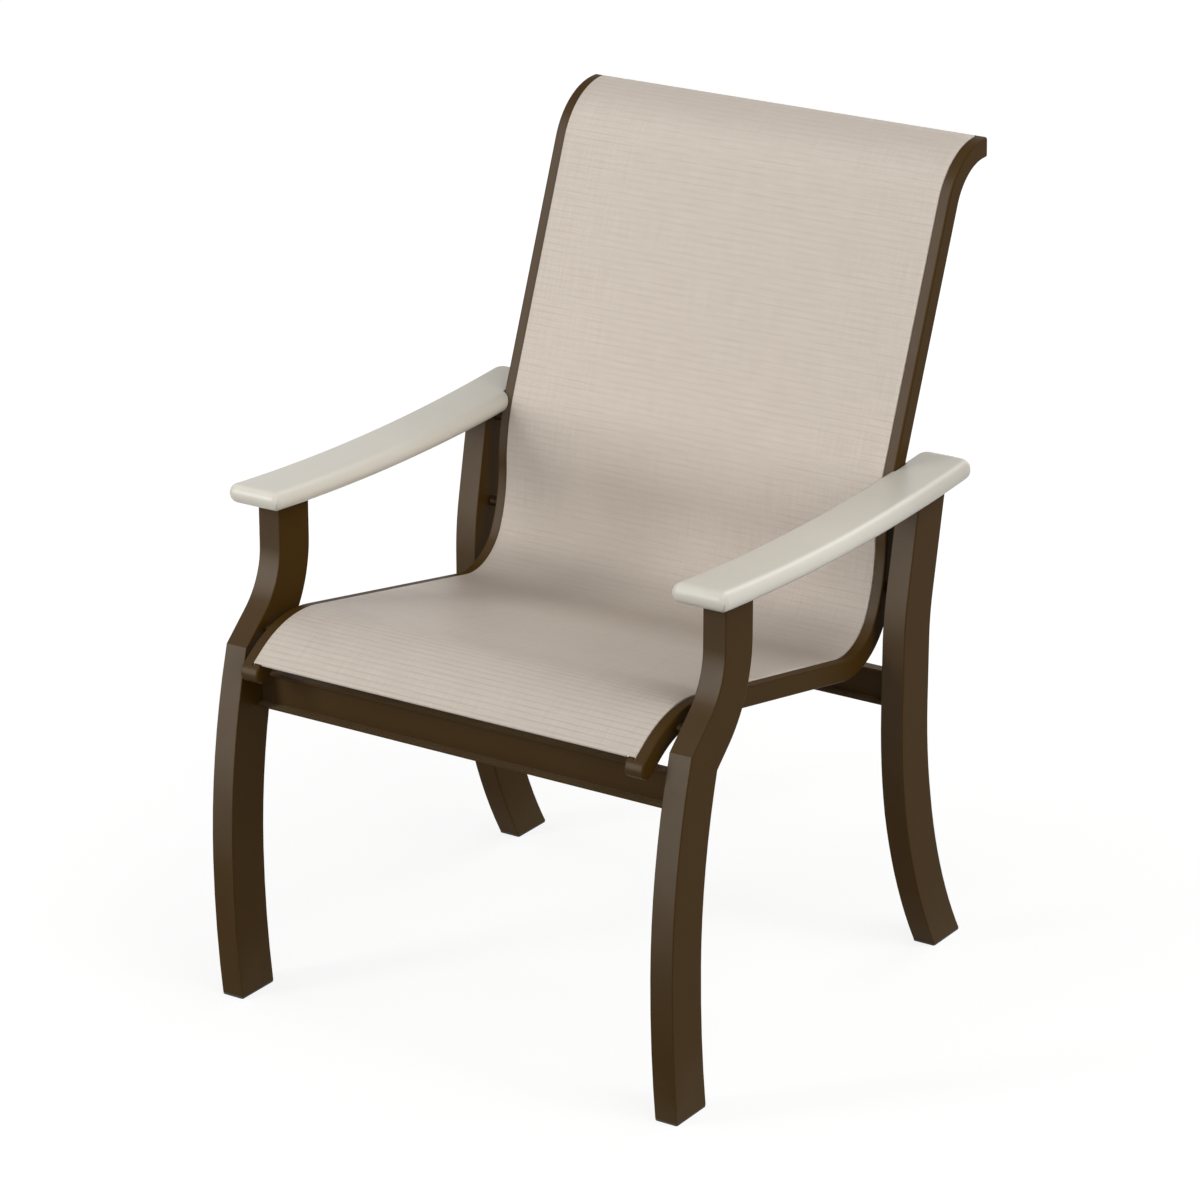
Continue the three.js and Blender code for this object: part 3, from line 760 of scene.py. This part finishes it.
def arm_screw(node):
    low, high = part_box(node)
    middle = (low + high) / 2
    arm_y = middle.y - foot_line
    slope = arm_slope(arm_y - arm_half / 100, arm_y + arm_half / 100)
    seat = Vector((middle.x, middle.y, arm_under(middle.y)))
    sizes = (ARM_SCREW_HEAD_RADIUS, ARM_SCREW_HEAD_HEIGHT, ARM_SCREW_RADIUS, ARM_SCREW_LENGTH)
    button_head(f"{node}_button", node, seat, Vector((0, -slope, 1)).normalized(), *sizes)


def rail_bolt(node, side):
    low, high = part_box(node)
    middle = (low + high) / 2
    seat = Vector((side * rail_inner_x, middle.y, middle.z))
    sizes = (BOLT_HEAD_RADIUS, BOLT_HEAD_HEIGHT, BOLT_RADIUS, high.x - low.x - BOLT_HEAD_HEIGHT)
    button_head(f"{node}_button", node, seat, Vector((side, 0, 0)), *sizes)


def finish_solid(node, material):
    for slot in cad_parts[node].material_slots:
        slot.material = material


BOLTS = ["front", "lower", "upper"]
for name, side in SIDES.items():
    for i in range(1, 4):
        arm_screw(f"{name}_arm_screw_{i}")
    for place in BOLTS:
        rail_bolt(f"{name}_{place}_rail_bolt", side)
        finish_solid(f"{name}_{place}_weld_nut", steel)


# Rail spacers
# Short aluminium tubes, coated like the frame, that hold the rails off the legs. Each rail bolt
# clamps one of them.

SPACER_CHAMFER = 0.0005


def spacer(node, side):
    low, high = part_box(node)
    middle = (low + high) / 2
    origin = Vector((low.x if side > 0 else high.x, middle.y, middle.z))
    length = high.x - low.x
    radius = (high.z - low.z) / 2
    eased = radius - SPACER_CHAMFER
    ends = [(0, eased), (SPACER_CHAMFER, radius), (length - SPACER_CHAMFER, radius), (length, eased)]
    rings = [ring_about(origin, Vector((side, 0, 0)), run, circle(reach)) for run, reach in ends]
    seat_piece(loft(f"{node}_tube", rings), frame_coat, "frame_coat", node)


for name, side in SIDES.items():
    for place in BOLTS:
        spacer(f"{name}_{place}_rail_spacer", side)


# Sling rails
# One extruded and bent aluminium length on each side, with a slotted channel in its face that grips
# the sheet's edge. The caps close its ends: a round nose in front and a thin plate at the top.

RAIL_CORNER = 0.0028
SLOT_INSET = 0.0155
SLOT_WIDTH = 0.0024
SLOT_CORNER = 0.0003
CHANNEL_WIDTH = 0.0066
CHANNEL_COVER = 0.002
CHANNEL_BOTTOM = 0.0086
NOSE_STEPS = 28
NOSE_CAP_OVERLAP = 0.02
TOP_CAP_THICKNESS = 0.0025
TOP_CAP_EASE = 0.0012
SHARPEST_MITRE = 0.5
# The rails, their caps and the back spreader take three quarters of the painted highlight
rail_coat = powder_coat("rail_powder_coat", 0.75, 0.0)


def rail_section(station):
    slot, channel = SLOT_WIDTH / 2, CHANNEL_WIDTH / 2
    corners = [
        (0, 0), (SLOT_INSET - slot, 0), (SLOT_INSET - slot, CHANNEL_COVER),
        (SLOT_INSET - channel, CHANNEL_COVER), (SLOT_INSET - channel, CHANNEL_BOTTOM),
        (SLOT_INSET + channel, CHANNEL_BOTTOM), (SLOT_INSET + channel, CHANNEL_COVER),
        (SLOT_INSET + slot, CHANNEL_COVER), (SLOT_INSET + slot, 0),
        (RAIL_WIDTH, 0), (RAIL_WIDTH, RAIL_DEPTH), (0, RAIL_DEPTH),
    ]
    radii = [RAIL_CORNER] + [SLOT_CORNER] * 8 + [RAIL_CORNER] * 3
    return [(rail_outer_x - inset, depth) for inset, depth in rounded(corners, radii)]


def inset_outline(outline, distance):
    """The outline drawn in by a distance, or by up to twice as much along the middle of a sharp corner."""
    count = len(outline)
    drawn = []
    for i, point in enumerate(outline):
        back = (point - outline[i - 1]).normalized()
        ahead = (outline[(i + 1) % count] - point).normalized()
        inward = Vector((-back.y - ahead.y, back.x + ahead.x)).normalized()
        mitre = max(math.cos(back.angle(ahead) / 2), SHARPEST_MITRE)
        drawn.append(point + inward * (distance / mitre))
    return drawn


def side_way(heading):
    """A heading of the side view as a direction in the chair."""
    return Vector((0, math.cos(heading), math.sin(heading)))


def nose_cap(name, side):
    end = rail[0]
    middle = end.off(RAIL_DEPTH / 2)
    outline = [
        middle + toward(end.heading + QUARTER_TURN + math.pi * i / NOSE_STEPS, RAIL_DEPTH / 2)
        for i in range(NOSE_STEPS + 1)
    ]
    outline += [end.off(RAIL_DEPTH) + toward(end.heading, NOSE_CAP_OVERLAP)]
    outline += [end.at + toward(end.heading, NOSE_CAP_OVERLAP)]
    rings = []
    for face, way in ((rail_inner_x, 1), (rail_outer_x, -1)):
        edge = []
        for i in range(CORNER_STEPS + 1):
            angle = QUARTER_TURN * i / CORNER_STEPS
            x = face + way * RAIL_CORNER * (1 - math.sin(angle))
            drawn = inset_outline(outline, RAIL_CORNER * (1 - math.cos(angle)))
            edge.append([in_chair(side * x, place) for place in drawn])
        rings += edge[::-1] if way > 0 else edge
    cap = loft(f"{name}_nose_cap", rings)
    trim(cap, in_chair(0, end.at), side_way(end.heading))
    seat_piece(cap, rail_coat, "frame_coat", f"{name}_rail_nose_cap")


def top_cap(name, side):
    end = rail[-1]
    rings = []
    for i in range(CORNER_STEPS + 2):
        angle = QUARTER_TURN * max(i - 1, 0) / CORNER_STEPS
        out = 0 if i == 0 else TOP_CAP_THICKNESS - TOP_CAP_EASE * (1 - math.sin(angle))
        inset = TOP_CAP_EASE * (1 - math.cos(angle))
        corners = rectangle(rail_inner_x + inset, inset, rail_outer_x - inset, RAIL_DEPTH - inset)
        further = Station(end.at + toward(end.heading, out), end.heading)
        outline = rounded(corners, RAIL_CORNER)
        rings.append([in_chair(side * x, further.off(depth)) for x, depth in outline])
    seat_piece(loft(f"{name}_top_cap", rings), rail_coat, "frame_coat", f"{name}_rail_top_cap")


for name, side in SIDES.items():
    extrusion = sweep(f"{name}_rail_extrusion", rail, rail_section, side)
    seat_piece(extrusion, rail_coat, "frame_coat", f"{name}_sling_rail")
    nose_cap(name, side)
    top_cap(name, side)


# Back spreader
# A flat coated tube across the back of the rails, bowed away from the sitter. It holds the rails
# apart against the pull of the sheet, and a nylon plug closes each end.

SPREADER_FROM_TOP = 0.193
SPREADER_DEPTH_IN_RAIL = 0.016
SPREADER_THICKNESS = 0.011
SPREADER_HEIGHT = 0.025
SPREADER_CORNER = 0.0025
SPREADER_END_RUN = 0.025
SPREADER_BOW_RADIUS = 0.15
SPREADER_BOW = math.radians(8)


def length_of(route):
    return sum((b.at - a.at).length for a, b in zip(route, route[1:]))


def station_at(route, run):
    """A station between two others, with a heading that turns evenly from one to the next."""
    for a, b in zip(route, route[1:]):
        step = (b.at - a.at).length
        if run <= step:
            share = run / step
            return Station(a.at.lerp(b.at, share), a.heading + (b.heading - a.heading) * share)
        run -= step
    return route[-1]


def spreader():
    end_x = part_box("back_spreader_bar")[1].x
    bow_x = end_x - SPREADER_END_RUN - SPREADER_BOW_RADIUS * math.sin(SPREADER_BOW)
    plan = route_of(Vector((-end_x, 0)), 0, [
        ("run", SPREADER_END_RUN),
        ("bend", SPREADER_BOW_RADIUS, SPREADER_BOW),
        ("bend", bow_x / math.sin(SPREADER_BOW), -SPREADER_BOW),
        ("bend", SPREADER_BOW_RADIUS, 0),
        ("run", SPREADER_END_RUN),
    ])
    hung = station_at(rail, length_of(rail) - SPREADER_FROM_TOP)
    origin = in_chair(0, hung.off(SPREADER_DEPTH_IN_RAIL))
    upward, rearward = side_way(hung.heading), side_way(hung.heading - QUARTER_TURN)
    t, h = SPREADER_THICKNESS / 2, SPREADER_HEIGHT / 2
    outline = rounded(rectangle(-t, -h, t, h), SPREADER_CORNER)
    rings = []
    for station in plan:
        places = [(station.off(depth), rise) for depth, rise in outline]
        rings.append([origin + Vector((p.x, 0, 0)) + rearward * p.y + upward * rise for p, rise in places])
    seat_piece(loft("back_spreader_tube", rings), rail_coat, "frame_coat", "back_spreader_bar")


spreader()
for name in SIDES:
    finish_solid(f"{name}_spreader_plug", nylon_trim)


# Sling
# One sheet of vinyl-coated polyester mesh in beige and taupe, stretched tight. Its sides turn down
# into the rail slots round a vinyl spline, and its two ends are folded under and stitched.

FABRIC_GAP = 0.0003
FABRIC = 0.0012
SLING_FRONT_SETBACK = 0.0035
SLING_TOP_SETBACK = 0.003
SLING_LIP_DEPTH = 0.003
SLING_EDGE = 0.0009
SLING_EDGE_STEPS = 4
SLING_COLUMNS = 60
SLING_STEP = 0.006
YARN_ACROSS = 0.00174
YARN_ALONG = 0.001445
RIB_PITCH = 0.00867
RIB_DEPTH_IN_YARNS = 3.0
WEAVE_DEPTH = 0.00016
# Cycles to the metre across and along the sheet, for unevenness drawn out along each kind of yarn
WEFT_SLUBS = (22.0, 420.0, 1.0)
WARP_SLUBS = (420.0, 14.0, 1.0)
WARP_BEIGE = paint(213, 202, 191)
WEFT_BEIGE = paint(226, 216, 205)
DARK_DYE = paint(199, 186, 174)
# Painted shade for the pits between the yarns and the grooves between the ribs
PIT_SHADE = paint(146, 130, 114)
RIB_SHADE = paint(140, 124, 108)
SHADE_BEIGE = paint(120, 108, 96)
YARN_GLOSS = paint(214, 202, 188)
# Run along the sheet in metres, and how much painted shade darkens it there: most where seat and back meet
SHADE_ALONG_SHEET = [(0.0, 0.1), (0.12, 0.08), (0.17, 0.0), (0.34, 0.02), (0.43, 0.36), (0.52, 0.42), (0.56, 0.14),
           (0.61, 0.13), (0.66, 0.08), (0.74, 0.0), (1.1, 0.0), (1.14, 0.12), (1.2, 0.16)]
SHADE_RUN = 1.2
# The grooves between ribs open over the front bend, and show less on the flat seat and back
RIBBING = [(0.0, 0.26), (0.13, 0.24), (0.2, 0.12), (1.0, 0.13)]


def sling_weave():
    """Flat yarns woven one over one, with a heavier groove at every sixth row and uneven dye."""
    cloth = finish_named("sling_weave_mesh")
    uv = cloth.node("ShaderNodeUVMap", {"uv_map": "weave"}, {}, out="UV")
    column = uv.part("X") / YARN_ACROSS
    along = uv.part("Y")
    row = along / YARN_ALONG
    warp_round = abs((column * math.pi).to("SINE"))
    weft_round = abs((row * math.pi).to("SINE"))
    over = (column.to("FLOOR") + row.to("FLOOR")).to("FLOORED_MODULO", 2.0)
    warp = over * warp_round * (0.55 + weft_round * 0.45)
    weft = (1 - over) * weft_round * (0.55 + warp_round * 0.45)
    height = warp + weft
    groove = (1 - abs((along * (math.pi / RIB_PITCH)).to("SINE"))).to("POWER", 3.0)
    weft_slub = cloth.clouds(uv * WEFT_SLUBS, 1.0, 1.0)
    warp_slub = cloth.clouds(uv * WARP_SLUBS, 1.0, 1.0)
    spot = cloth.clouds(uv, 160, 2.0)
    ribs = groove * cloth.ramp(along, *RIBBING) * (0.45 + weft_slub * 1.1)
    yarn = cloth.mix(over, WEFT_BEIGE, WARP_BEIGE)
    dyed = cloth.mix(weft_slub * 0.75 + warp_slub * 0.65 + spot * 0.2 - 0.6, yarn, DARK_DYE)
    # Painted shade in the pits between the yarns and in the grooves between the ribs
    pits = cloth.mix((1 - height) * 0.3, dyed, PIT_SHADE)
    # Painted shade along the sheet, darkest where seat and back meet
    painted_shade = cloth.ramp(along / SHADE_RUN, *[(run / SHADE_RUN, amount) for run, amount in SHADE_ALONG_SHEET])
    cloth.set(
        Base_Color=cloth.mix(painted_shade, cloth.mix(ribs, pits, RIB_SHADE), SHADE_BEIGE),
        Roughness=0.4 + height * 0.06,
        Normal=cloth.relief(height - ribs * RIB_DEPTH_IN_YARNS, WEAVE_DEPTH),
        Specular_IOR_Level=0.5,
        Specular_Tint=YARN_GLOSS,
    )
    return cloth.material


weave = sling_weave()


def even_stations(route, start, end, step):
    """Stations at even runs, close enough together for a smooth sheet."""
    total = length_of(route) - start - end
    count = math.ceil(total / step)
    runs = [start + total * i / count for i in range(count + 1)]
    return [(run, station_at(route, run)) for run in runs]


def sling_outline():
    """Across the sheet: the top face from lip to lip, then the under face back again."""
    slot_x = rail_outer_x - SLOT_INSET
    outer, inner = slot_x + FABRIC / 2, slot_x - FABRIC / 2
    top, under = -FABRIC_GAP - FABRIC, -FABRIC_GAP
    edge = [(outer, SLING_LIP_DEPTH)]
    for i in range(SLING_EDGE_STEPS + 1):
        angle = QUARTER_TURN * i / SLING_EDGE_STEPS
        edge.append((outer - SLING_EDGE * (1 - math.cos(angle)), top + SLING_EDGE * (1 - math.sin(angle))))
    flat_x = outer - SLING_EDGE
    middle = [(flat_x * (1 - 2 * i / SLING_COLUMNS), top) for i in range(1, SLING_COLUMNS)]
    over = edge + middle + [(-x, depth) for x, depth in reversed(edge)]
    below = [(-inner, SLING_LIP_DEPTH), (-inner, under)]
    below += [(inner * (2 * i / SLING_COLUMNS - 1), under) for i in range(1, SLING_COLUMNS)]
    below += [(inner, under), (inner, SLING_LIP_DEPTH)]
    return over + below


def lay_weave(piece, place_of):
    """Writes where each corner lies on the flat cloth, in metres, for the weave to follow."""
    layer = piece.data.uv_layers.new(name="weave")
    for loop in piece.data.loops:
        layer.data[loop.index].uv = place_of[loop.vertex_index]


def sling():
    outline = sling_outline()
    rings = []
    flat_places = []
    for run, station in even_stations(rail, SLING_FRONT_SETBACK, SLING_TOP_SETBACK, SLING_STEP):
        rings.append([in_chair(x, station.off(depth)) for x, depth in outline])
        flat_places += [(x + math.copysign(depth, x) if depth > 0 else x, run) for x, depth in outline]
    sheet = loft("sling_sheet", rings)
    lay_weave(sheet, flat_places)
    return seat_piece(sheet, weave, "sling_weave", "sling_fabric")


sheet = sling()

HEM_RETURN = 0.024
HEM_STEP = 0.004
HEM_ROUND_STEPS = 8
HEM_CLEAR_OF_RAIL = 0.002
HEM_COLUMNS = 60
hem_half_width = rail_inner_x - HEM_CLEAR_OF_RAIL


def hem(name, from_front):
    """The folded end: a round fold past the sheet's end, and the return that lies under the sheet."""
    total = length_of(rail)
    start = SLING_FRONT_SETBACK if from_front else SLING_TOP_SETBACK
    way = 1 if from_front else -1

    def on_rail(run):
        return station_at(rail, run if from_front else total - run)

    fold = on_rail(start)
    outer = []
    for i in range(HEM_ROUND_STEPS + 1):
        angle = math.pi * i / HEM_ROUND_STEPS
        forward = -way * FABRIC * math.sin(angle)
        outer.append(fold.off(-FABRIC_GAP - FABRIC * math.cos(angle)) + toward(fold.heading, forward))
    count = math.ceil(HEM_RETURN / HEM_STEP)
    runs = [start + HEM_RETURN * i / count for i in range(count + 1)]
    outer += [on_rail(run).off(FABRIC - FABRIC_GAP) for run in runs[1:]]
    outline = outer + [on_rail(run).off(-FABRIC_GAP) for run in reversed(runs)]
    rings = []
    flat_places = []
    for i in range(HEM_COLUMNS + 1):
        x = hem_half_width * (2 * i / HEM_COLUMNS - 1)
        rings.append([in_chair(x, place) for place in outline])
        flat_places += [(x, way * place.y) for place in outline]
    piece = loft(name, rings)
    lay_weave(piece, flat_places)
    return seat_piece(piece, weave, "sling_weave")


STITCH_LENGTH = 0.0034
STITCH_PITCH = 0.0046
STITCH_WIDTH = 0.0006
STITCH_PROUD = 0.00025
STITCH_FROM_END = 0.018
STITCH_SIDES = 8
# Shares of a stitch's length, and how full it is there
STITCH_BULGE = [(-0.5, 0.25), (-0.3, 0.8), (0.0, 1.0), (0.3, 0.8), (0.5, 0.25)]
THREAD = [paint(188, 175, 160), paint(208, 196, 182)]


def stitch_thread():
    thread = finish_named("beige_thread")
    twist = thread.clouds(thread.place(), 1800, 1.0)
    thread.set(Base_Color=thread.mix(twist, *THREAD), Roughness=0.6 + twist * 0.2)
    return thread.material


thread = stitch_thread()


def stitches(name, from_front):
    """A row of lockstitches through the hem, each a small flattened bead of thread."""
    station = station_at(rail, STITCH_FROM_END if from_front else length_of(rail) - STITCH_FROM_END)
    top = in_chair(0, station.off(-FABRIC_GAP - FABRIC))
    proud = in_chair(0, station.off(-FABRIC_GAP - FABRIC - STITCH_PROUD)) - top
    along = side_way(station.heading)
    bm = bmesh.new()
    count = int(2 * hem_half_width / STITCH_PITCH)
    for i in range(count):
        centre_x = (i - (count - 1) / 2) * STITCH_PITCH
        rings = []
        for share, swell in STITCH_BULGE:
            middle = top + Vector((centre_x + share * STITCH_LENGTH, 0, 0))
            ring = []
            for k in range(STITCH_SIDES):
                angle = 2 * math.pi * k / STITCH_SIDES
                wide = along * (STITCH_WIDTH / 2 * swell * math.cos(angle))
                ring.append(middle + wide + proud * (swell * math.sin(angle)))
            rings.append(ring)
        bridge(bm, rings)
    return seat_piece(piece_from(name, bm), thread, "sling_weave")


hems = [hem("sling_front_hem", True), hem("sling_top_hem", False)]
rows = [stitches("sling_front_stitches", True), stitches("sling_top_stitches", False)]

VINYL = [paint(222, 220, 212), paint(232, 230, 224)]


def spline_vinyl():
    vinyl = finish_named("spline_vinyl")
    cloudy = vinyl.clouds(vinyl.place(), 200)
    vinyl.set(Base_Color=vinyl.mix(cloudy, *VINYL), Roughness=0.45 + cloudy * 0.15)
    return vinyl.material


vinyl = spline_vinyl()
for name in SIDES:
    finish_solid(f"{name}_spline", vinyl)

sling_length = length_of(rail) - SLING_FRONT_SETBACK - SLING_TOP_SETBACK
hems + rows


# Studio
# A plain pale floor that keeps a faint shadow, one tall light low in front on the left, softer ones
# high on both sides and behind, a little light from all round, and the photograph's long lens.

FLOOR_SIZE = 40.0
# The floor's grey for the light that it throws back on the chair, and where it is seen
FLOOR_UNSEEN = paint(150, 150, 149)
FLOOR_SEEN = paint(126, 126, 125)
BLACK = (0.0, 0.0, 0.0, 1.0)
WHITE = (1.0, 1.0, 1.0, 1.0)
# What the floor gives of its own light where it is seen: less under the chair, so its shadow shows
BACKDROP = [paint(236, 236, 236), paint(247, 247, 247)]
BACKDROP_REACH = 4.0
BACKDROP_RISE = [(0.12, 0.0), (0.6, 1.0)]


def seen_directly(finish):
    """One where a camera ray lands, or one that a shiny or a clear surface sends on."""
    camera_ray, glossy_ray, clear_ray = (
        finish.node("ShaderNodeLightPath", {}, {}, out=f"Is {kind} Ray")
        for kind in ("Camera", "Glossy", "Transmission")
    )
    return camera_ray.to("MAXIMUM", glossy_ray.to("MAXIMUM", clear_ray))


def studio_floor():
    bm = bmesh.new()
    half = FLOOR_SIZE / 2
    bm.faces.new([bm.verts.new((x, y, 0)) for x, y in rectangle(-half, -half, half, half)])
    floor = piece_from("studio_floor", bm)
    pale = finish_named("pale_floor")
    seen = seen_directly(pale)
    away = pale.place().to("LENGTH") / BACKDROP_REACH
    backdrop = pale.mix(pale.ramp(away, *BACKDROP_RISE), *BACKDROP)
    pale.set(
        Base_Color=pale.mix(seen, FLOOR_UNSEEN, FLOOR_SEEN),
        Roughness=0.9,
        Specular_IOR_Level=0.0,
        Emission_Color=pale.mix(seen, BLACK, backdrop),
        Emission_Strength=1.0,
    )
    floor.data.materials.append(pale.material)


# Levels of light by height, from the horizon at 0 to straight above at 1, and by bearing, from behind
# the chair at 0 through its left side at a quarter, its front at a half and its right at three quarters
LOW_BAND = [(0.0, 1.0), (0.15, 1.0), (0.4, 0.0)]
LOW_ROUND = [(0.0, 0.27), (0.19, 0.0), (0.41, 0.25), (0.59, 0.45), (0.75, 1.0), (1.0, 0.27)]
MIDDLE_BAND = [(0.15, 0.0), (0.4, 1.0), (0.6, 1.0), (0.85, 0.0)]
MIDDLE_ROUND = [(0.0, 0.0), (0.41, 0.0), (0.59, 1.0), (0.75, 1.0), (1.0, 0.0)]
LOW_STRENGTH = 2.0
MIDDLE_STRENGTH = 1.4


def studio_world():
    """Soft light that is brightest from the right low down, and from the front right half-way up."""
    world = bpy.data.worlds.new("studio_air")
    bpy.context.scene.world = world
    air = Finish(world, "Background")
    way = air.node("ShaderNodeTexCoord", {}, {}, out="Generated")
    rise = way.part("Z")
    bearing = way.part("X").to("ARCTAN2", way.part("Y") * -1.0) / (2 * math.pi) + 0.5
    low = air.ramp(rise, *LOW_BAND) * air.ramp(bearing, *LOW_ROUND)
    middle = air.ramp(rise, *MIDDLE_BAND) * air.ramp(bearing, *MIDDLE_ROUND)
    light = low * LOW_STRENGTH + middle * MIDDLE_STRENGTH
    air.set(Color=air.mix(seen_directly(air), light, WHITE))


LIGHT_DISTANCE = 3.6
LIGHT_AIM = Vector((0, 0, 0.55))


def softbox(name, azimuth, elevation, size, power):
    """A rectangle of light at a bearing from straight in front of the chair, aimed at its middle."""
    data = bpy.data.lights.new(name, "AREA")
    data.shape = "RECTANGLE"
    data.size, data.size_y = size
    data.energy = power
    lamp = bpy.data.objects.new(name, data)
    bpy.context.scene.collection.objects.link(lamp)
    a, e = math.radians(azimuth), math.radians(elevation)
    back = Vector((math.sin(a) * math.cos(e), -math.cos(a) * math.cos(e), math.sin(e)))
    lamp.location = LIGHT_AIM + back * LIGHT_DISTANCE
    lamp.rotation_euler = back.to_track_quat("Z", "Y").to_euler()
    lamp.visible_camera = False


CAMERA_AZIMUTH = math.radians(33.304)
CAMERA_ELEVATION = math.radians(20.399)
CAMERA_AT = Vector((3.0214, -4.6345, 2.5261))
FOCAL_PIXELS = 4815.7
PHOTO_PIXELS = 1200
SENSOR_WIDTH = 36.0


def camera():
    data = bpy.data.cameras.new("camera")
    data.sensor_width = SENSOR_WIDTH
    data.lens = FOCAL_PIXELS / PHOTO_PIXELS * SENSOR_WIDTH
    data.clip_end = 100.0
    eye = bpy.data.objects.new("camera", data)
    bpy.context.scene.collection.objects.link(eye)
    eye.location = CAMERA_AT
    eye.rotation_euler = (QUARTER_TURN - CAMERA_ELEVATION, 0, CAMERA_AZIMUTH)
    bpy.context.scene.camera = eye


studio_floor()
studio_world()
softbox("key_light", -33, 16, (0.7, 2.0), 50)
softbox("upper_left_light", -62, 52, (1.8, 1.5), 19)
softbox("upper_right_light", 60, 60, (1.3, 1.3), 16)
softbox("right_light", 88, 44, (0.6, 2.0), 20)
softbox("rear_light", 169, 37, (1.8, 1.5), 24)
softbox("low_rear_light", 186, 9, (2.2, 1.0), 11)
camera()
bpy.context.scene.view_settings.view_transform = "Standard"
